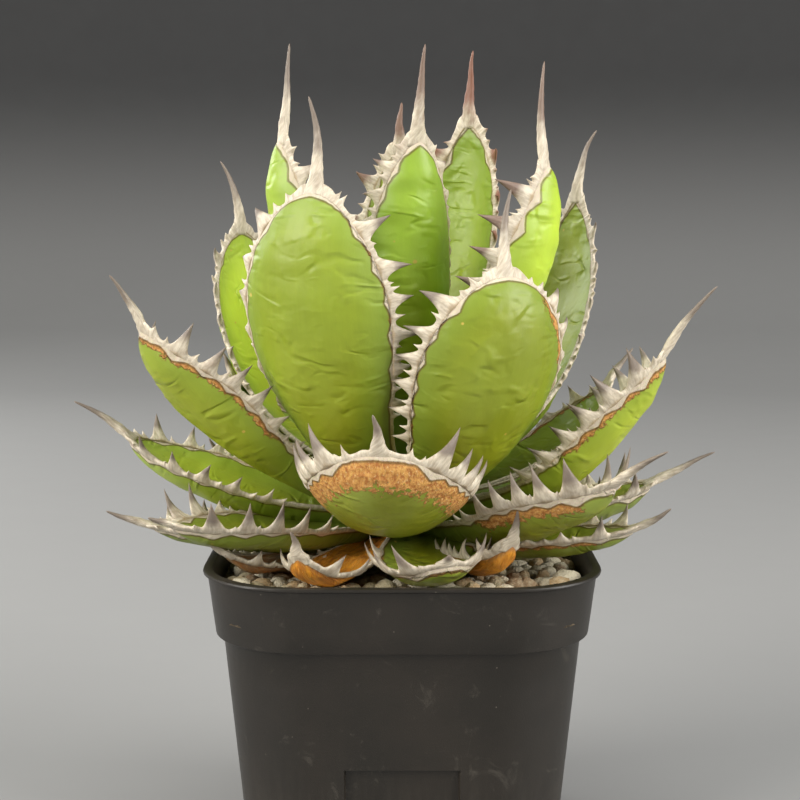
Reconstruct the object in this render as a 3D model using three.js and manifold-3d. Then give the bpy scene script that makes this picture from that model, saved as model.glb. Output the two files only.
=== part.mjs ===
// Potted agave: a rosette of toothed leaves on a short stem, in a square nursery pot.
// Millimetres, +Z up. The origin is the centre of the pot's underside, and -Y is the front.
// An azimuth is counted in degrees from +X towards +Y.
import * as THREE from "three";
import { mergeVertices } from "three/addons/utils/BufferGeometryUtils.js";
import Module from "manifold-3d";

const wasm = await Module();
wasm.setup();

// Clearance between pieces that touch
const GAP = 0.3;
// Room that a leaf's neighbours leave round it where they would cross it
const CUT_MARGIN = 0.8;
// Detail smaller than this is dropped where a cut leaves it
const SLIVER = 0.12;

// Pot: heights above the table, and half widths of its rounded square section
const POT_HEIGHT = 90;
const BASE_HALF = 44;
const BODY_TOP_HALF = 50.7;
const BAND_BOTTOM = 71;
const BAND_BOTTOM_HALF = 52.7;
const BAND_TOP_HALF = 54.8;
const LIP_HEIGHT = 1.2;
const LIP_HALF = 56;
const CORNER_SHARE = 0.5;
const CORNER_STEPS = 4;
const WALL = 1.6;
const FLOOR = 2;
const RECESS_WIDTH = 31;
const RECESS_HEIGHT = 37;
const RECESS_DEPTH = 1.6;
const DRAIN_RADIUS = 4.5;
const DRAIN_OFFSET = 25;

// Soil with its cover of gravel, and the stem in it
const SOIL_TOP = 86;
const GRAVEL_RELIEF = 1.3;
const GRAVEL_CELLS = 9;
const SOIL_EDGE_DROP = 1;
const STEM_FOOT = 62;
const STEM_TOP = 116;
const STEM_FOOT_RADIUS = 8;
const STEM_TOP_RADIUS = 2.5;
const STEM_SIDES = 12;

// Leaf sections: thickness under the upper face, and the horn that edges the blade
const UPPER_SHARES = [-1, -0.4, 0.4, 1];
const LOWER_SHARES = [-1, -0.5, 0, 0.5, 1];
const EDGE_THICKNESS = 1;
const HORN_WIDTH_BASE = 1.4;
const HORN_WIDTH_TIP = 2.8;
const HORN_CAP = 3.6;
const HORN_THICKNESS = 1.3;
const TOOTH_TIP_THICKNESS = 0.7;
const HORN_END = 0.95;
const SPINE_RADIUS = 2.6;
const SPINE_SIDES = 4;
const SPINE_RINGS = 3;
// How far a dried leaf's horn runs into its blade, with which it is one piece
const FUSED_OVERLAP = 1.2;

// What a leaf has unless its row says otherwise
const LEAF_DEFAULTS = {
  baseReach: 9, baseRise: 98, startAngle: 20, endAngle: 40,
  width: 40, cup: 42, roll: 0, side: 0, bend: 0, pull: 0.36,
  baseShare: 0.34, swell: 1.6, widest: 0.58, blunt: 0.72, hornStart: 0.34,
  thickBase: 5.5, thickTip: 3.6,
  spine: 18, lean: 0, sway: 0,
  teeth: 5, tooth: 6.5, lift: 2, hornFused: false,
};

// Leaves from the heart outwards. reach and rise place the blade's tip, startAngle and endAngle
// are the midrib's slopes at its two ends, and cup is how far each half curls up, in degrees.
const LEAVES = [
  { name: "01", azimuth: 295, reach: 12, rise: 209, baseReach: 1, baseRise: 118, startAngle: 81,
    endAngle: 86, width: 31, cup: 40, side: -1, baseShare: 0.42, widest: 0.42, blunt: 0.62, hornStart: 0.5,
    spine: 26, lean: -4, sway: 8, tooth: 4 },
  { name: "02", azimuth: 56, reach: 37, rise: 216, baseReach: 8, baseRise: 115, startAngle: 70,
    endAngle: 96, width: 30, hornStart: 0.45, spine: 21, lean: -8, sway: -16, teeth: 4, tooth: 7 },
  { name: "03", azimuth: 203, reach: 36, rise: 209, baseRise: 114, startAngle: 70, endAngle: 96, width: 32,
    cup: 45, hornStart: 0.45, spine: 26, lean: -4, teeth: 4, tooth: 6 },
  { name: "04", azimuth: -24, reach: 43, rise: 202, baseReach: 7, baseRise: 114, startAngle: 64,
    endAngle: 98, width: 34, cup: 48, hornStart: 0.45, spine: 28, lean: -20, sway: 12, tooth: 9 },
  { name: "05", azimuth: 91, reach: 42, rise: 208, baseRise: 113, startAngle: 50, endAngle: 96, width: 30,
    cup: 45, hornStart: 0.45, spine: 14, sway: -8, teeth: 4 },
  { name: "06", azimuth: 241, reach: 51, rise: 194, baseReach: 8, baseRise: 111, startAngle: 14,
    endAngle: 105, width: 44, cup: 28, roll: 7, bend: 2, baseShare: 0.4, swell: 2, widest: 0.66,
    blunt: 0.62, spine: 25, lean: -28, sway: -32, teeth: 6, tooth: 7 },
  { name: "07", azimuth: 43, reach: 77, rise: 193, baseReach: 8, baseRise: 105, startAngle: 15,
    endAngle: 89, width: 42, cup: 26, roll: -7, baseShare: 0.47, swell: 1.58, widest: 0.5, blunt: 0.85,
    hornStart: 0.4, spine: 22, lean: -36, sway: -32, tooth: 5 },
  { name: "08", azimuth: 139, reach: 68, rise: 183, baseReach: 8, baseRise: 107, startAngle: 11,
    endAngle: 89, width: 46, cup: 31, roll: 3, baseShare: 0.51, swell: 1.59, widest: 0.59, blunt: 0.7,
    hornStart: 0.41, spine: 22, lean: -36, sway: 32, tooth: 5 },
  { name: "09", azimuth: 299, reach: 54, rise: 172, baseRise: 108, startAngle: 10, endAngle: 104,
    width: 46, cup: 33, roll: -3, bend: 1, baseShare: 0.4, swell: 1.94, widest: 0.66, blunt: 0.54,
    spine: 23, lean: -12, sway: 28, teeth: 6, tooth: 7 },
  { name: "10", azimuth: 203, reach: 77, rise: 157, baseRise: 103, startAngle: 28, endAngle: 68, width: 37,
    cup: 48, roll: 6, baseShare: 0.26, swell: 2.4, widest: 0.66, spine: 17, lean: -28, sway: -12, teeth: 6,
    tooth: 8 },
  { name: "11", azimuth: -16, reach: 76, rise: 149, baseRise: 103, startAngle: 2, endAngle: 62, width: 33,
    cup: 44, pull: 0.42, swell: 2, widest: 0.62, spine: 24, lean: -28, teeth: 6, tooth: 8 },
  { name: "12", azimuth: 26, reach: 71, rise: 134, baseReach: 10.5, baseRise: 103, startAngle: 7,
    endAngle: 56, width: 31, cup: 28, roll: -8, widest: 0.66, hornStart: 0.42, spine: 15, lean: -20,
    teeth: 4, tooth: 5 },
  { name: "13", azimuth: 161, reach: 54, rise: 138, baseRise: 104, startAngle: 32, endAngle: 66, width: 27,
    cup: 34, spine: 8, teeth: 4, tooth: 5 },
  { name: "14", azimuth: 76, reach: 72, rise: 160, baseRise: 105, startAngle: 32, endAngle: 74, width: 34,
    hornStart: 0.42, teeth: 4, tooth: 7 },
  { name: "15", azimuth: 117, reach: 73, rise: 152, baseRise: 103, startAngle: 26, endAngle: 70, width: 34,
    hornStart: 0.4, teeth: 4, tooth: 7 },
  { name: "16", azimuth: 265, reach: 67, rise: 128, baseReach: 11, baseRise: 101, startAngle: 5,
    endAngle: 68, width: 47, cup: 38, roll: -2, baseShare: 0.57, widest: 0.54, blunt: 0.5, thickBase: 4.5,
    spine: 11, sway: -20, teeth: 6, tooth: 9, lift: 3 },
  { name: "17", azimuth: 181, reach: 80, rise: 123, baseRise: 99, startAngle: 4, endAngle: 42, width: 42,
    cup: 32, roll: -2, thickBase: 4, thickTip: 3, spine: 19, lean: -28, sway: 8, tooth: 7 },
  { name: "18", azimuth: -41, reach: 74, rise: 117, baseRise: 97, startAngle: 0, endAngle: 38, width: 33,
    cup: 40, roll: -4, thickBase: 4, spine: 19, lean: -16, sway: 12, teeth: 6, tooth: 9, lift: 4 },
  { name: "19", azimuth: 2, reach: 74, rise: 108.5, baseRise: 95.5, startAngle: 0, endAngle: 28, width: 32,
    cup: 34, thickBase: 4, spine: 21, lean: -8, teeth: 4, tooth: 8, lift: 4 },
  { name: "20", azimuth: 52, reach: 76, rise: 112, baseRise: 96, startAngle: 4, endAngle: 38, width: 36,
    cup: 34, thickBase: 3.5, spine: 17, teeth: 4 },
  { name: "21", azimuth: 94, reach: 76, rise: 118, baseReach: 10, baseRise: 99, startAngle: 8,
    endAngle: 44, width: 38, cup: 34, thickBase: 3.5, teeth: 4 },
  { name: "22", azimuth: 136, reach: 76, rise: 113, baseRise: 95, startAngle: 4, width: 36, cup: 34,
    thickBase: 3.5, spine: 17, teeth: 4 },
  { name: "23", azimuth: 215, reach: 75, rise: 105, baseRise: 96.5, startAngle: 0, endAngle: 20, width: 32,
    cup: 34, thickBase: 3.5, thickTip: 3, spine: 8, tooth: 8, lift: 4 },
  { name: "24", azimuth: 194, reach: 74, rise: 100, baseRise: 92, startAngle: 0, endAngle: 16, width: 24,
    cup: 26, thickBase: 3, thickTip: 2.5, spine: 13, lean: 12, sway: -4, teeth: 4, tooth: 6, lift: 3 },
  { name: "25", azimuth: -27, reach: 72, rise: 102, baseRise: 92, startAngle: 0, endAngle: 24, width: 26,
    cup: 30, thickBase: 2.4, thickTip: 2.5, spine: 12, lean: 24, teeth: 4, tooth: 6, lift: 3 },
  { name: "26", azimuth: 112, reach: 70, rise: 98, baseRise: 92.5, startAngle: 0, endAngle: 22, width: 28,
    cup: 28, thickBase: 3, thickTip: 2.5, spine: 12, teeth: 4 },
  { name: "27", azimuth: 283, reach: 52, rise: 96, baseRise: 96.5, startAngle: -6, endAngle: 42, width: 29,
    cup: 24, roll: 6, thickBase: 3.5, thickTip: 3, spine: 4, teeth: 4, tooth: 7, lift: 4 },
  { name: "28", azimuth: 240, reach: 55, rise: 97, baseRise: 95, startAngle: -4, endAngle: 62, width: 19,
    cup: 20, thickBase: 2.2, thickTip: 2.2, spine: 8, teeth: 3, tooth: 5, lift: 3, hornFused: true },
  { name: "29", azimuth: 306, reach: 50, rise: 99, baseRise: 93.5, startAngle: -6, endAngle: 64, width: 14,
    cup: 60, thickBase: 2.2, thickTip: 2.5, spine: 11, sway: -30, teeth: 3, tooth: 4, hornFused: true },
  { name: "30", azimuth: 212, reach: 58, rise: 94.5, baseRise: 91.5, startAngle: -2, endAngle: 36,
    width: 16, cup: 30, thickBase: 2, thickTip: 1.6, spine: 9, teeth: 3, tooth: 4, hornFused: true },
];

// Looks
const paint = (color, roughness) => new THREE.MeshStandardMaterial({ color, roughness, metalness: 0 });
const GREEN = paint(0x7d9a3a, 0.45);
const HORN = paint(0xcdbfb0, 0.6);
const DRIED = paint(0xa8662a, 0.7);
const PLASTIC = paint(0x2b2a28, 0.5);
const EARTH = paint(0x8a7a66, 0.9);
const WOOD = paint(0x8f8a55, 0.7);

// Small helpers
const radians = (degrees) => THREE.MathUtils.degToRad(degrees);
const clamp01 = (value) => Math.min(1, Math.max(0, value));
const mix = (from, to, share) => from + (to - from) * share;

// Repeatable draws between 0 and 1
function dice(seed) {
  let state = seed * 7919 + 17;
  return () => {
    state = (state * 16807) % 2147483647;
    return state / 2147483647;
  };
}

// A closed mesh from points and triangles, as a solid
function solidOf(points, triangles) {
  const geometry = new THREE.BufferGeometry();
  const flat = points.flatMap((point) => [point.x, point.y, point.z]);
  geometry.setAttribute("position", new THREE.Float32BufferAttribute(flat, 3));
  geometry.setIndex(triangles.flat());
  return solidFrom(geometry);
}

// A three.js geometry as a solid
function solidFrom(geometry) {
  geometry.deleteAttribute("normal");
  geometry.deleteAttribute("uv");
  const merged = mergeVertices(geometry, 1e-5);
  const mesh = new wasm.Mesh({
    numProp: 3,
    vertProperties: new Float32Array(merged.attributes.position.array),
    triVerts: new Uint32Array(merged.index.array),
  });
  return new wasm.Manifold(mesh);
}

// The largest body of a solid, without its slivers
function largest(solid) {
  let body = solid;
  for (const tolerance of [0, SLIVER]) {
    const bodies = body.asOriginal().simplify(tolerance).decompose();
    bodies.sort((one, other) => other.volume() - one.volume());
    body = bodies[0];
  }
  return body;
}

// A solid as a named mesh
function meshOf(name, solid, material) {
  const raw = solid.getMesh();
  const geometry = new THREE.BufferGeometry();
  const position = new Float32Array(raw.numVert * 3);
  for (let i = 0; i < raw.numVert; i++) {
    for (let axis = 0; axis < 3; axis++) {
      position[i * 3 + axis] = raw.vertProperties[i * raw.numProp + axis];
    }
  }
  geometry.setAttribute("position", new THREE.BufferAttribute(position, 3));
  geometry.setIndex(new THREE.BufferAttribute(new Uint32Array(raw.triVerts), 1));
  const mesh = new THREE.Mesh(geometry, material);
  mesh.name = name;
  return mesh;
}

// Whether two solids' boxes meet
function boxesMeet(one, other) {
  const a = one.boundingBox();
  const b = other.boundingBox();
  return [0, 1, 2].every((axis) => a.min[axis] < b.max[axis] && b.min[axis] < a.max[axis]);
}

// A solid less each of the cutters that it meets
function cutBy(solid, cutters) {
  let result = solid;
  for (const cutter of cutters) {
    if (boxesMeet(result, cutter)) {
      result = result.subtract(cutter);
    }
  }
  return result;
}

// A stack of rings with the same number of points, closed at both ends by fans
function loft(rings) {
  const count = rings[0].length;
  const points = rings.flat();
  const triangles = [];
  for (let level = 0; level < rings.length - 1; level++) {
    for (let i = 0; i < count; i++) {
      const here = level * count + i;
      const next = level * count + (i + 1) % count;
      triangles.push([here, next, next + count], [here, next + count, here + count]);
    }
  }
  const last = (rings.length - 1) * count;
  for (let i = 1; i < count - 1; i++) {
    triangles.push([0, i + 1, i], [last, last + i, last + i + 1]);
  }
  return solidOf(points, triangles);
}

// A rounded square ring at a height
function squareRing(half, z) {
  const corner = half * CORNER_SHARE;
  const points = [];
  for (let quarter = 0; quarter < 4; quarter++) {
    const diagonal = radians(45 + 90 * quarter);
    const centreX = Math.sign(Math.cos(diagonal)) * (half - corner);
    const centreY = Math.sign(Math.sin(diagonal)) * (half - corner);
    for (let step = 0; step <= CORNER_STEPS; step++) {
      const angle = radians(90 * quarter + (90 * step) / CORNER_STEPS);
      points.push(new THREE.Vector3(
        centreX + corner * Math.cos(angle), centreY + corner * Math.sin(angle), z));
    }
  }
  return points;
}

// The four recesses in the foot of the pot's sides, grown by a margin
function recesses(margin) {
  const halfWidth = RECESS_WIDTH / 2 + margin;
  const reach = BASE_HALF + 10;
  const slope = (BODY_TOP_HALF - BASE_HALF) / BAND_BOTTOM;
  const boxes = [];
  for (let side = 0; side < 4; side++) {
    const inner = (z) => BASE_HALF + slope * z - RECESS_DEPTH - margin;
    const top = RECESS_HEIGHT + margin;
    const foot = -1;
    const corner = (x, y, z) => {
      const turned = new THREE.Vector3(x, y, z);
      return turned.applyAxisAngle(new THREE.Vector3(0, 0, 1), radians(90 * side));
    };
    const ring = (z) => [
      corner(inner(z), -halfWidth, z), corner(reach, -halfWidth, z),
      corner(reach, halfWidth, z), corner(inner(z), halfWidth, z),
    ];
    boxes.push(loft([ring(foot), ring(top)]));
  }
  return boxes;
}

// Half width of the pot's cavity at a height
function cavityHalf(z) {
  if (z <= BAND_BOTTOM) {
    return mix(BASE_HALF, BODY_TOP_HALF, z / BAND_BOTTOM) - WALL;
  }
  const share = (z - BAND_BOTTOM) / (POT_HEIGHT - BAND_BOTTOM);
  return mix(BODY_TOP_HALF, BAND_TOP_HALF, share) - WALL;
}

// The space inside the pot, pulled in by a margin, up to a height
function cavity(margin, top) {
  const levels = [FLOOR + margin, BAND_BOTTOM, top];
  const inside = loft(levels.map((z) => squareRing(cavityHalf(z) - margin, z)));
  return cutBy(inside, recesses(WALL + margin));
}

function buildPot() {
  const profile = [
    [BASE_HALF, 0], [BODY_TOP_HALF, BAND_BOTTOM], [BAND_BOTTOM_HALF, BAND_BOTTOM],
    [BAND_TOP_HALF, POT_HEIGHT - LIP_HEIGHT], [LIP_HALF, POT_HEIGHT - LIP_HEIGHT],
    [LIP_HALF, POT_HEIGHT],
  ];
  let pot = loft(profile.map(([half, z]) => squareRing(half, z)));
  pot = cutBy(pot, recesses(0));
  pot = pot.subtract(cavity(0, POT_HEIGHT + 1));
  for (const x of [-DRAIN_OFFSET, DRAIN_OFFSET]) {
    for (const y of [-DRAIN_OFFSET, DRAIN_OFFSET]) {
      const drain = new THREE.CylinderGeometry(DRAIN_RADIUS, DRAIN_RADIUS, 3 * FLOOR, 12);
      drain.rotateX(Math.PI / 2);
      drain.translate(x, y, FLOOR / 2);
      pot = pot.subtract(solidFrom(drain));
    }
  }
  return pot;
}

// The stem, grown by a margin
function buildStem(margin) {
  const length = STEM_TOP - STEM_FOOT + 2 * margin;
  const stem = new THREE.CylinderGeometry(
    STEM_TOP_RADIUS + margin, STEM_FOOT_RADIUS + margin, length, STEM_SIDES);
  stem.rotateX(Math.PI / 2);
  stem.translate(0, 0, (STEM_TOP + STEM_FOOT) / 2);
  return solidFrom(stem);
}

// Soil with a lumpy top of gravel
function buildSoil() {
  const random = dice(5);
  const half = LIP_HALF;
  const count = GRAVEL_CELLS + 1;
  const points = [];
  const triangles = [];
  for (let row = 0; row < count; row++) {
    for (let column = 0; column < count; column++) {
      const x = mix(-half, half, column / GRAVEL_CELLS);
      const y = mix(-half, half, row / GRAVEL_CELLS);
      const edge = clamp01(Math.max(Math.abs(x), Math.abs(y)) / half);
      const bump = GRAVEL_RELIEF * (random() - 0.5) * 2;
      points.push(new THREE.Vector3(x, y, SOIL_TOP + bump - SOIL_EDGE_DROP * edge ** 6));
    }
  }
  const ground = points.length;
  for (const point of [...points]) {
    points.push(new THREE.Vector3(point.x, point.y, 0));
  }
  for (let row = 0; row < GRAVEL_CELLS; row++) {
    for (let column = 0; column < GRAVEL_CELLS; column++) {
      const a = row * count + column;
      const b = a + 1;
      const c = a + count;
      const d = c + 1;
      triangles.push([a, b, d], [a, d, c]);
      triangles.push([ground + a, ground + d, ground + b], [ground + a, ground + c, ground + d]);
    }
  }
  const wall = (from, to) => {
    triangles.push([ground + from, ground + to, to], [ground + from, to, from]);
  };
  for (let i = 0; i < GRAVEL_CELLS; i++) {
    wall(i, i + 1);
    wall(GRAVEL_CELLS * count + i + 1, GRAVEL_CELLS * count + i);
    wall((i + 1) * count, i * count);
    wall(i * count + GRAVEL_CELLS, (i + 1) * count + GRAVEL_CELLS);
  }
  const slab = solidOf(points, triangles);
  return slab.intersect(cavity(GAP, POT_HEIGHT)).subtract(buildStem(GAP));
}

// A leaf's form. Points are given on the flattened blade: along the midrib, and across it.
class Leaf {
  constructor(row) {
    Object.assign(this, LEAF_DEFAULTS, row);
    const azimuth = radians(this.azimuth);
    const outward = new THREE.Vector3(Math.cos(azimuth), Math.sin(azimuth), 0);
    this.across = new THREE.Vector3(-Math.sin(azimuth), Math.cos(azimuth), 0);
    const place = (reach, rise, shift) => outward.clone().multiplyScalar(reach)
      .addScaledVector(this.across, shift).setZ(rise);
    const span = this.pull * Math.hypot(this.reach - this.baseReach, this.rise - this.baseRise);
    const start = radians(this.startAngle);
    const end = radians(this.endAngle);
    this.midrib = new THREE.CubicBezierCurve3(
      place(this.baseReach, this.baseRise, this.side),
      place(this.baseReach + span * Math.cos(start), this.baseRise + span * Math.sin(start), this.side),
      place(this.reach - span * Math.cos(end), this.rise - span * Math.sin(end),
        this.side + this.bend / 3),
      place(this.reach, this.rise, this.side + this.bend));
    this.length = this.midrib.getLength();
  }

  // The midrib's point, direction, sideways and upper-face directions
  frame(along) {
    const share = clamp01(along / this.length);
    const ahead = this.midrib.getTangentAt(share);
    const point = this.midrib.getPointAt(share).addScaledVector(ahead, along - share * this.length);
    const level = this.across.clone().addScaledVector(ahead, -ahead.dot(this.across)).normalize();
    const up = ahead.clone().cross(level);
    const roll = radians(this.roll) * clamp01(share * 1.5);
    const sideways = level.clone().multiplyScalar(Math.cos(roll)).addScaledVector(up, Math.sin(roll));
    const inward = up.clone().multiplyScalar(Math.cos(roll)).addScaledVector(level, -Math.sin(roll));
    return { point, ahead, sideways, inward };
  }

  // Radius of the cupped section
  radius(along) {
    const share = clamp01(along / this.length / 0.5);
    const smooth = share * share * (3 - 2 * share);
    const middle = this.width / 2 / radians(this.cup);
    const base = (this.width / 2) * this.baseShare / radians(Math.min(this.cup * 1.5, 70));
    return mix(base, middle, smooth);
  }

  // A point in space for a place on the flattened blade, at a height over the upper face
  at(along, aside, height = 0) {
    const { point, sideways, inward } = this.frame(along);
    const radius = this.radius(along);
    const angle = aside / radius;
    return point
      .addScaledVector(sideways, (radius - height) * Math.sin(angle))
      .addScaledVector(inward, radius - (radius - height) * Math.cos(angle));
  }

  // Half width of the flattened blade
  halfWidth(along) {
    const share = clamp01(along / this.length);
    if (share < this.widest) {
      const swell = Math.sin(Math.PI / 2 * share / this.widest) ** this.swell;
      return this.width / 2 * mix(this.baseShare, 1, swell);
    }
    const rest = (share - this.widest) / (1 - this.widest);
    return this.width / 2 * (1 - rest * rest) ** this.blunt;
  }

  // Thickness under the upper face
  thickness(along, acrossShare) {
    const share = clamp01(along / this.length);
    const middle = mix(this.thickBase, this.thickTip, Math.min(share / 0.8, 1));
    const fade = Math.sqrt(clamp01((1 - share) / 0.12));
    return EDGE_THICKNESS + middle * fade * (1 - acrossShare * acrossShare);
  }

  // Places along the midrib where the teeth begin and end
  rows() {
    const list = [];
    for (let i = 0; i <= this.teeth; i++) {
      list.push(this.length * mix(this.hornStart, HORN_END, (i / this.teeth) ** 0.9));
    }
    return list;
  }
}

// The blade of a leaf, grown by a margin, with its rim further out still
function buildBlade(leaf, margin = 0, rim = 0) {
  const stations = [-margin, 0.15 * leaf.length, ...leaf.rows(), leaf.length + margin + rim];
  const tipHalf = 0.35 * leaf.halfWidth(0.98 * leaf.length);
  const rings = stations.map((along, index) => {
    const half = (index === stations.length - 1 ? tipHalf : leaf.halfWidth(along)) + margin + rim;
    const depth = (share) => -leaf.thickness(along, share) - margin;
    const upper = UPPER_SHARES.map((share) => leaf.at(along, share * half, margin));
    const lower = LOWER_SHARES.map((share) => leaf.at(along, share * half, depth(share)));
    return [...upper.reverse(), ...lower];
  });
  return loft(rings);
}

// Outline of a leaf's edge, from one side's base round the tip to the other side's base
function edgeOutline(leaf) {
  const rows = leaf.rows();
  const tip = [leaf.length, 0.35 * leaf.halfWidth(0.98 * leaf.length)];
  const rightSide = [...rows.map((along) => [along, leaf.halfWidth(along)]), tip];
  const leftSide = rightSide.map(([along, aside]) => [along, -aside]).reverse();
  return [...rightSide, ...leftSide];
}

// Outward direction at each point of an outline on the flattened blade
function outwards(outline) {
  return outline.map((point, index) => {
    const before = outline[Math.max(index - 1, 0)];
    const after = outline[Math.min(index + 1, outline.length - 1)];
    const run = [after[0] - before[0], after[1] - before[1]];
    const size = Math.hypot(run[0], run[1]);
    return [-run[1] / size, run[0] / size];
  });
}

// A sheet of even topology on both faces, built on the flattened blade
class Sheet {
  constructor(leaf, margin) {
    this.leaf = leaf;
    this.margin = margin;
    this.points = [];
    this.triangles = [];
  }

  // Adds a point on each face and returns the upper one's number
  pair([along, aside], height, thickness) {
    const half = thickness / 2 + this.margin;
    this.points.push(this.leaf.at(along, aside, height + half), this.leaf.at(along, aside, height - half));
    return this.points.length - 2;
  }

  face(a, b, c) {
    this.triangles.push([a, b, c], [a + 1, c + 1, b + 1]);
  }

  wall(from, to) {
    this.triangles.push([from, to, to + 1], [from, to + 1, from + 1]);
  }
}

// The horny edge of a leaf, with its teeth and its end spine, grown by a margin
function buildHorn(leaf, margin = 0) {
  const random = dice(Number(leaf.name));
  const outline = edgeOutline(leaf);
  const normals = outwards(outline);
  const inset = leaf.hornFused ? -FUSED_OVERLAP : GAP + 0.05;
  const sheet = new Sheet(leaf, margin);
  const middle = -EDGE_THICKNESS / 2;
  const count = outline.length;
  const offset = (point, normal, distance) => point.map((value, axis) => value + normal[axis] * distance);
  // Edge widths grow towards the tip, where the spine's root widens them further
  const edges = outline.map((point, index) => {
    const fromTip = Math.abs(index - (count - 1) / 2);
    const width = fromTip < 1 ? HORN_CAP : mix(HORN_WIDTH_TIP, HORN_WIDTH_BASE, (2 * fromTip) / count);
    return {
      inner: sheet.pair(offset(point, normals[index], inset - margin), middle, HORN_THICKNESS),
      outer: sheet.pair(offset(point, normals[index], inset + width + margin), middle, HORN_THICKNESS),
    };
  });
  for (let i = 0; i < count - 1; i++) {
    const [here, next] = [edges[i], edges[i + 1]];
    sheet.face(here.inner, next.inner, next.outer);
    sheet.face(here.inner, next.outer, here.outer);
    sheet.wall(next.inner, here.inner);
    const firstSide = i < leaf.teeth;
    const order = firstSide ? i : count - 2 - i;
    if (order >= leaf.teeth) {
      sheet.wall(here.outer, next.outer);
      continue;
    }
    // A tooth rises between the two edges and hooks back towards the leaf's base
    const share = (order + 0.5) / leaf.teeth;
    const length = leaf.tooth * mix(0.4, 1.1, share) * mix(0.8, 1.15, random());
    const hook = mix(2.6, 0.4, share) * mix(0.6, 1.3, random());
    const normal = normals[i].map((value, axis) => (value + normals[i + 1][axis]) / 2);
    const place = (part, rise, back) => {
      const foot = outline[i].map((value, axis) => mix(value, outline[i + 1][axis], part));
      const [along, aside] = offset(foot, normal, inset + HORN_WIDTH_BASE + rise + margin);
      return [along - back, aside];
    };
    const shoulderPart = firstSide ? 0.72 : 0.28;
    const shoulder = sheet.pair(place(shoulderPart, 0.38 * length, -margin), middle + 0.25 * leaf.lift,
      HORN_THICKNESS);
    const tip = sheet.pair(place(0.5, length + margin, hook), middle + leaf.lift, TOOTH_TIP_THICKNESS);
    const [low, high] = firstSide ? [tip, shoulder] : [shoulder, tip];
    if (firstSide) {
      sheet.face(here.outer, next.outer, shoulder);
      sheet.face(here.outer, shoulder, tip);
    } else {
      sheet.face(here.outer, next.outer, tip);
      sheet.face(here.outer, tip, shoulder);
    }
    sheet.wall(here.outer, low);
    sheet.wall(low, high);
    sheet.wall(high, next.outer);
  }
  sheet.wall(edges[0].inner, edges[0].outer);
  sheet.wall(edges[count - 1].outer, edges[count - 1].inner);
  return solidOf(sheet.points, sheet.triangles).add(buildSpine(leaf, margin, inset));
}

// The end spine: a tapering tube that bends as it goes
function buildSpine(leaf, margin, inset) {
  const { ahead, sideways, inward } = leaf.frame(leaf.length);
  const point = leaf.at(leaf.length + inset + 0.3 - margin, 0, -EDGE_THICKNESS / 2);
  const step = (leaf.spine + margin) / SPINE_RINGS;
  const rings = [];
  for (let ring = 0; ring <= SPINE_RINGS; ring++) {
    const share = ring / SPINE_RINGS;
    const lean = radians(leaf.lean) * share;
    const sway = radians(leaf.sway) * share;
    const course = ahead.clone().multiplyScalar(Math.cos(lean) * Math.cos(sway))
      .addScaledVector(inward, Math.sin(lean)).addScaledVector(sideways, Math.sin(sway)).normalize();
    const wide = sideways.clone().addScaledVector(course, -course.dot(sideways)).normalize();
    const deep = course.clone().cross(wide);
    const radius = mix(SPINE_RADIUS, 0.35, share ** 0.75) + margin;
    const around = [];
    for (let side = 0; side < SPINE_SIDES; side++) {
      const angle = radians((360 * side) / SPINE_SIDES);
      around.push(point.clone().addScaledVector(wide, radius * Math.cos(angle))
        .addScaledVector(deep, radius * 0.8 * Math.sin(angle)));
    }
    rings.push(around);
    point.addScaledVector(course, step);
  }
  return loft(rings);
}

// Assembly
const object = new THREE.Group();
const pot = buildPot();
object.add(meshOf("pot", pot, PLASTIC));
object.add(meshOf("soil", buildSoil(), EARTH));
object.add(meshOf("stem", buildStem(0), WOOD));

const leaves = LEAVES.map((row) => new Leaf(row));
const bladeCutters = [buildStem(GAP)];
const blades = [];
for (const leaf of leaves) {
  blades.push(largest(cutBy(buildBlade(leaf), bladeCutters)));
  bladeCutters.push(buildBlade(leaf, CUT_MARGIN, HORN_WIDTH_BASE));
}

// Each horn clears the other leaves' blades and the horns before it
const hornCutters = [];
leaves.forEach((leaf, index) => {
  const others = leaves.filter((other) => other !== leaf).map((other) => buildBlade(other, CUT_MARGIN, 0));
  const horn = largest(cutBy(buildHorn(leaf), [...others, ...hornCutters]));
  hornCutters.push(buildHorn(leaf, CUT_MARGIN));
  if (leaf.hornFused) {
    object.add(meshOf(`dried_leaf_${leaf.name}`, largest(blades[index].add(horn)), DRIED));
  } else {
    object.add(meshOf(`leaf_${leaf.name}`, blades[index], GREEN));
    object.add(meshOf(`horn_${leaf.name}`, horn, HORN));
  }
});

export default object;
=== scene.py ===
# Potted agave: detailed leaves, horny edges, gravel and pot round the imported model.
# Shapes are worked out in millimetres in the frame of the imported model, and written in metres.
import math

import bmesh
import bpy
import mathutils
import numpy as np
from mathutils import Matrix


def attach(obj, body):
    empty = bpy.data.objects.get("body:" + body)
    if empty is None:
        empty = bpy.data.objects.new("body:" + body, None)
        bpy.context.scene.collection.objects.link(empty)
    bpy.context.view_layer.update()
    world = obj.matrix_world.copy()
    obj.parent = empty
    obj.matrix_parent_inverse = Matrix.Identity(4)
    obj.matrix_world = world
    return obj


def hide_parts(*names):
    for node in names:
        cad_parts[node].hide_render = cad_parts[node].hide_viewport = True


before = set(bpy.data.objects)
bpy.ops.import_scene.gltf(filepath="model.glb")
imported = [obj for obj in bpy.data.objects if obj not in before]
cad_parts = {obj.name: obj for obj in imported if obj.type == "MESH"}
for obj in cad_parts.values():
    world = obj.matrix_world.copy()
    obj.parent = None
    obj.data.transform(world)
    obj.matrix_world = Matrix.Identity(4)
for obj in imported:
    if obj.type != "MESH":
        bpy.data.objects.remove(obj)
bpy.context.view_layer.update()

MM = 0.001

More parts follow.
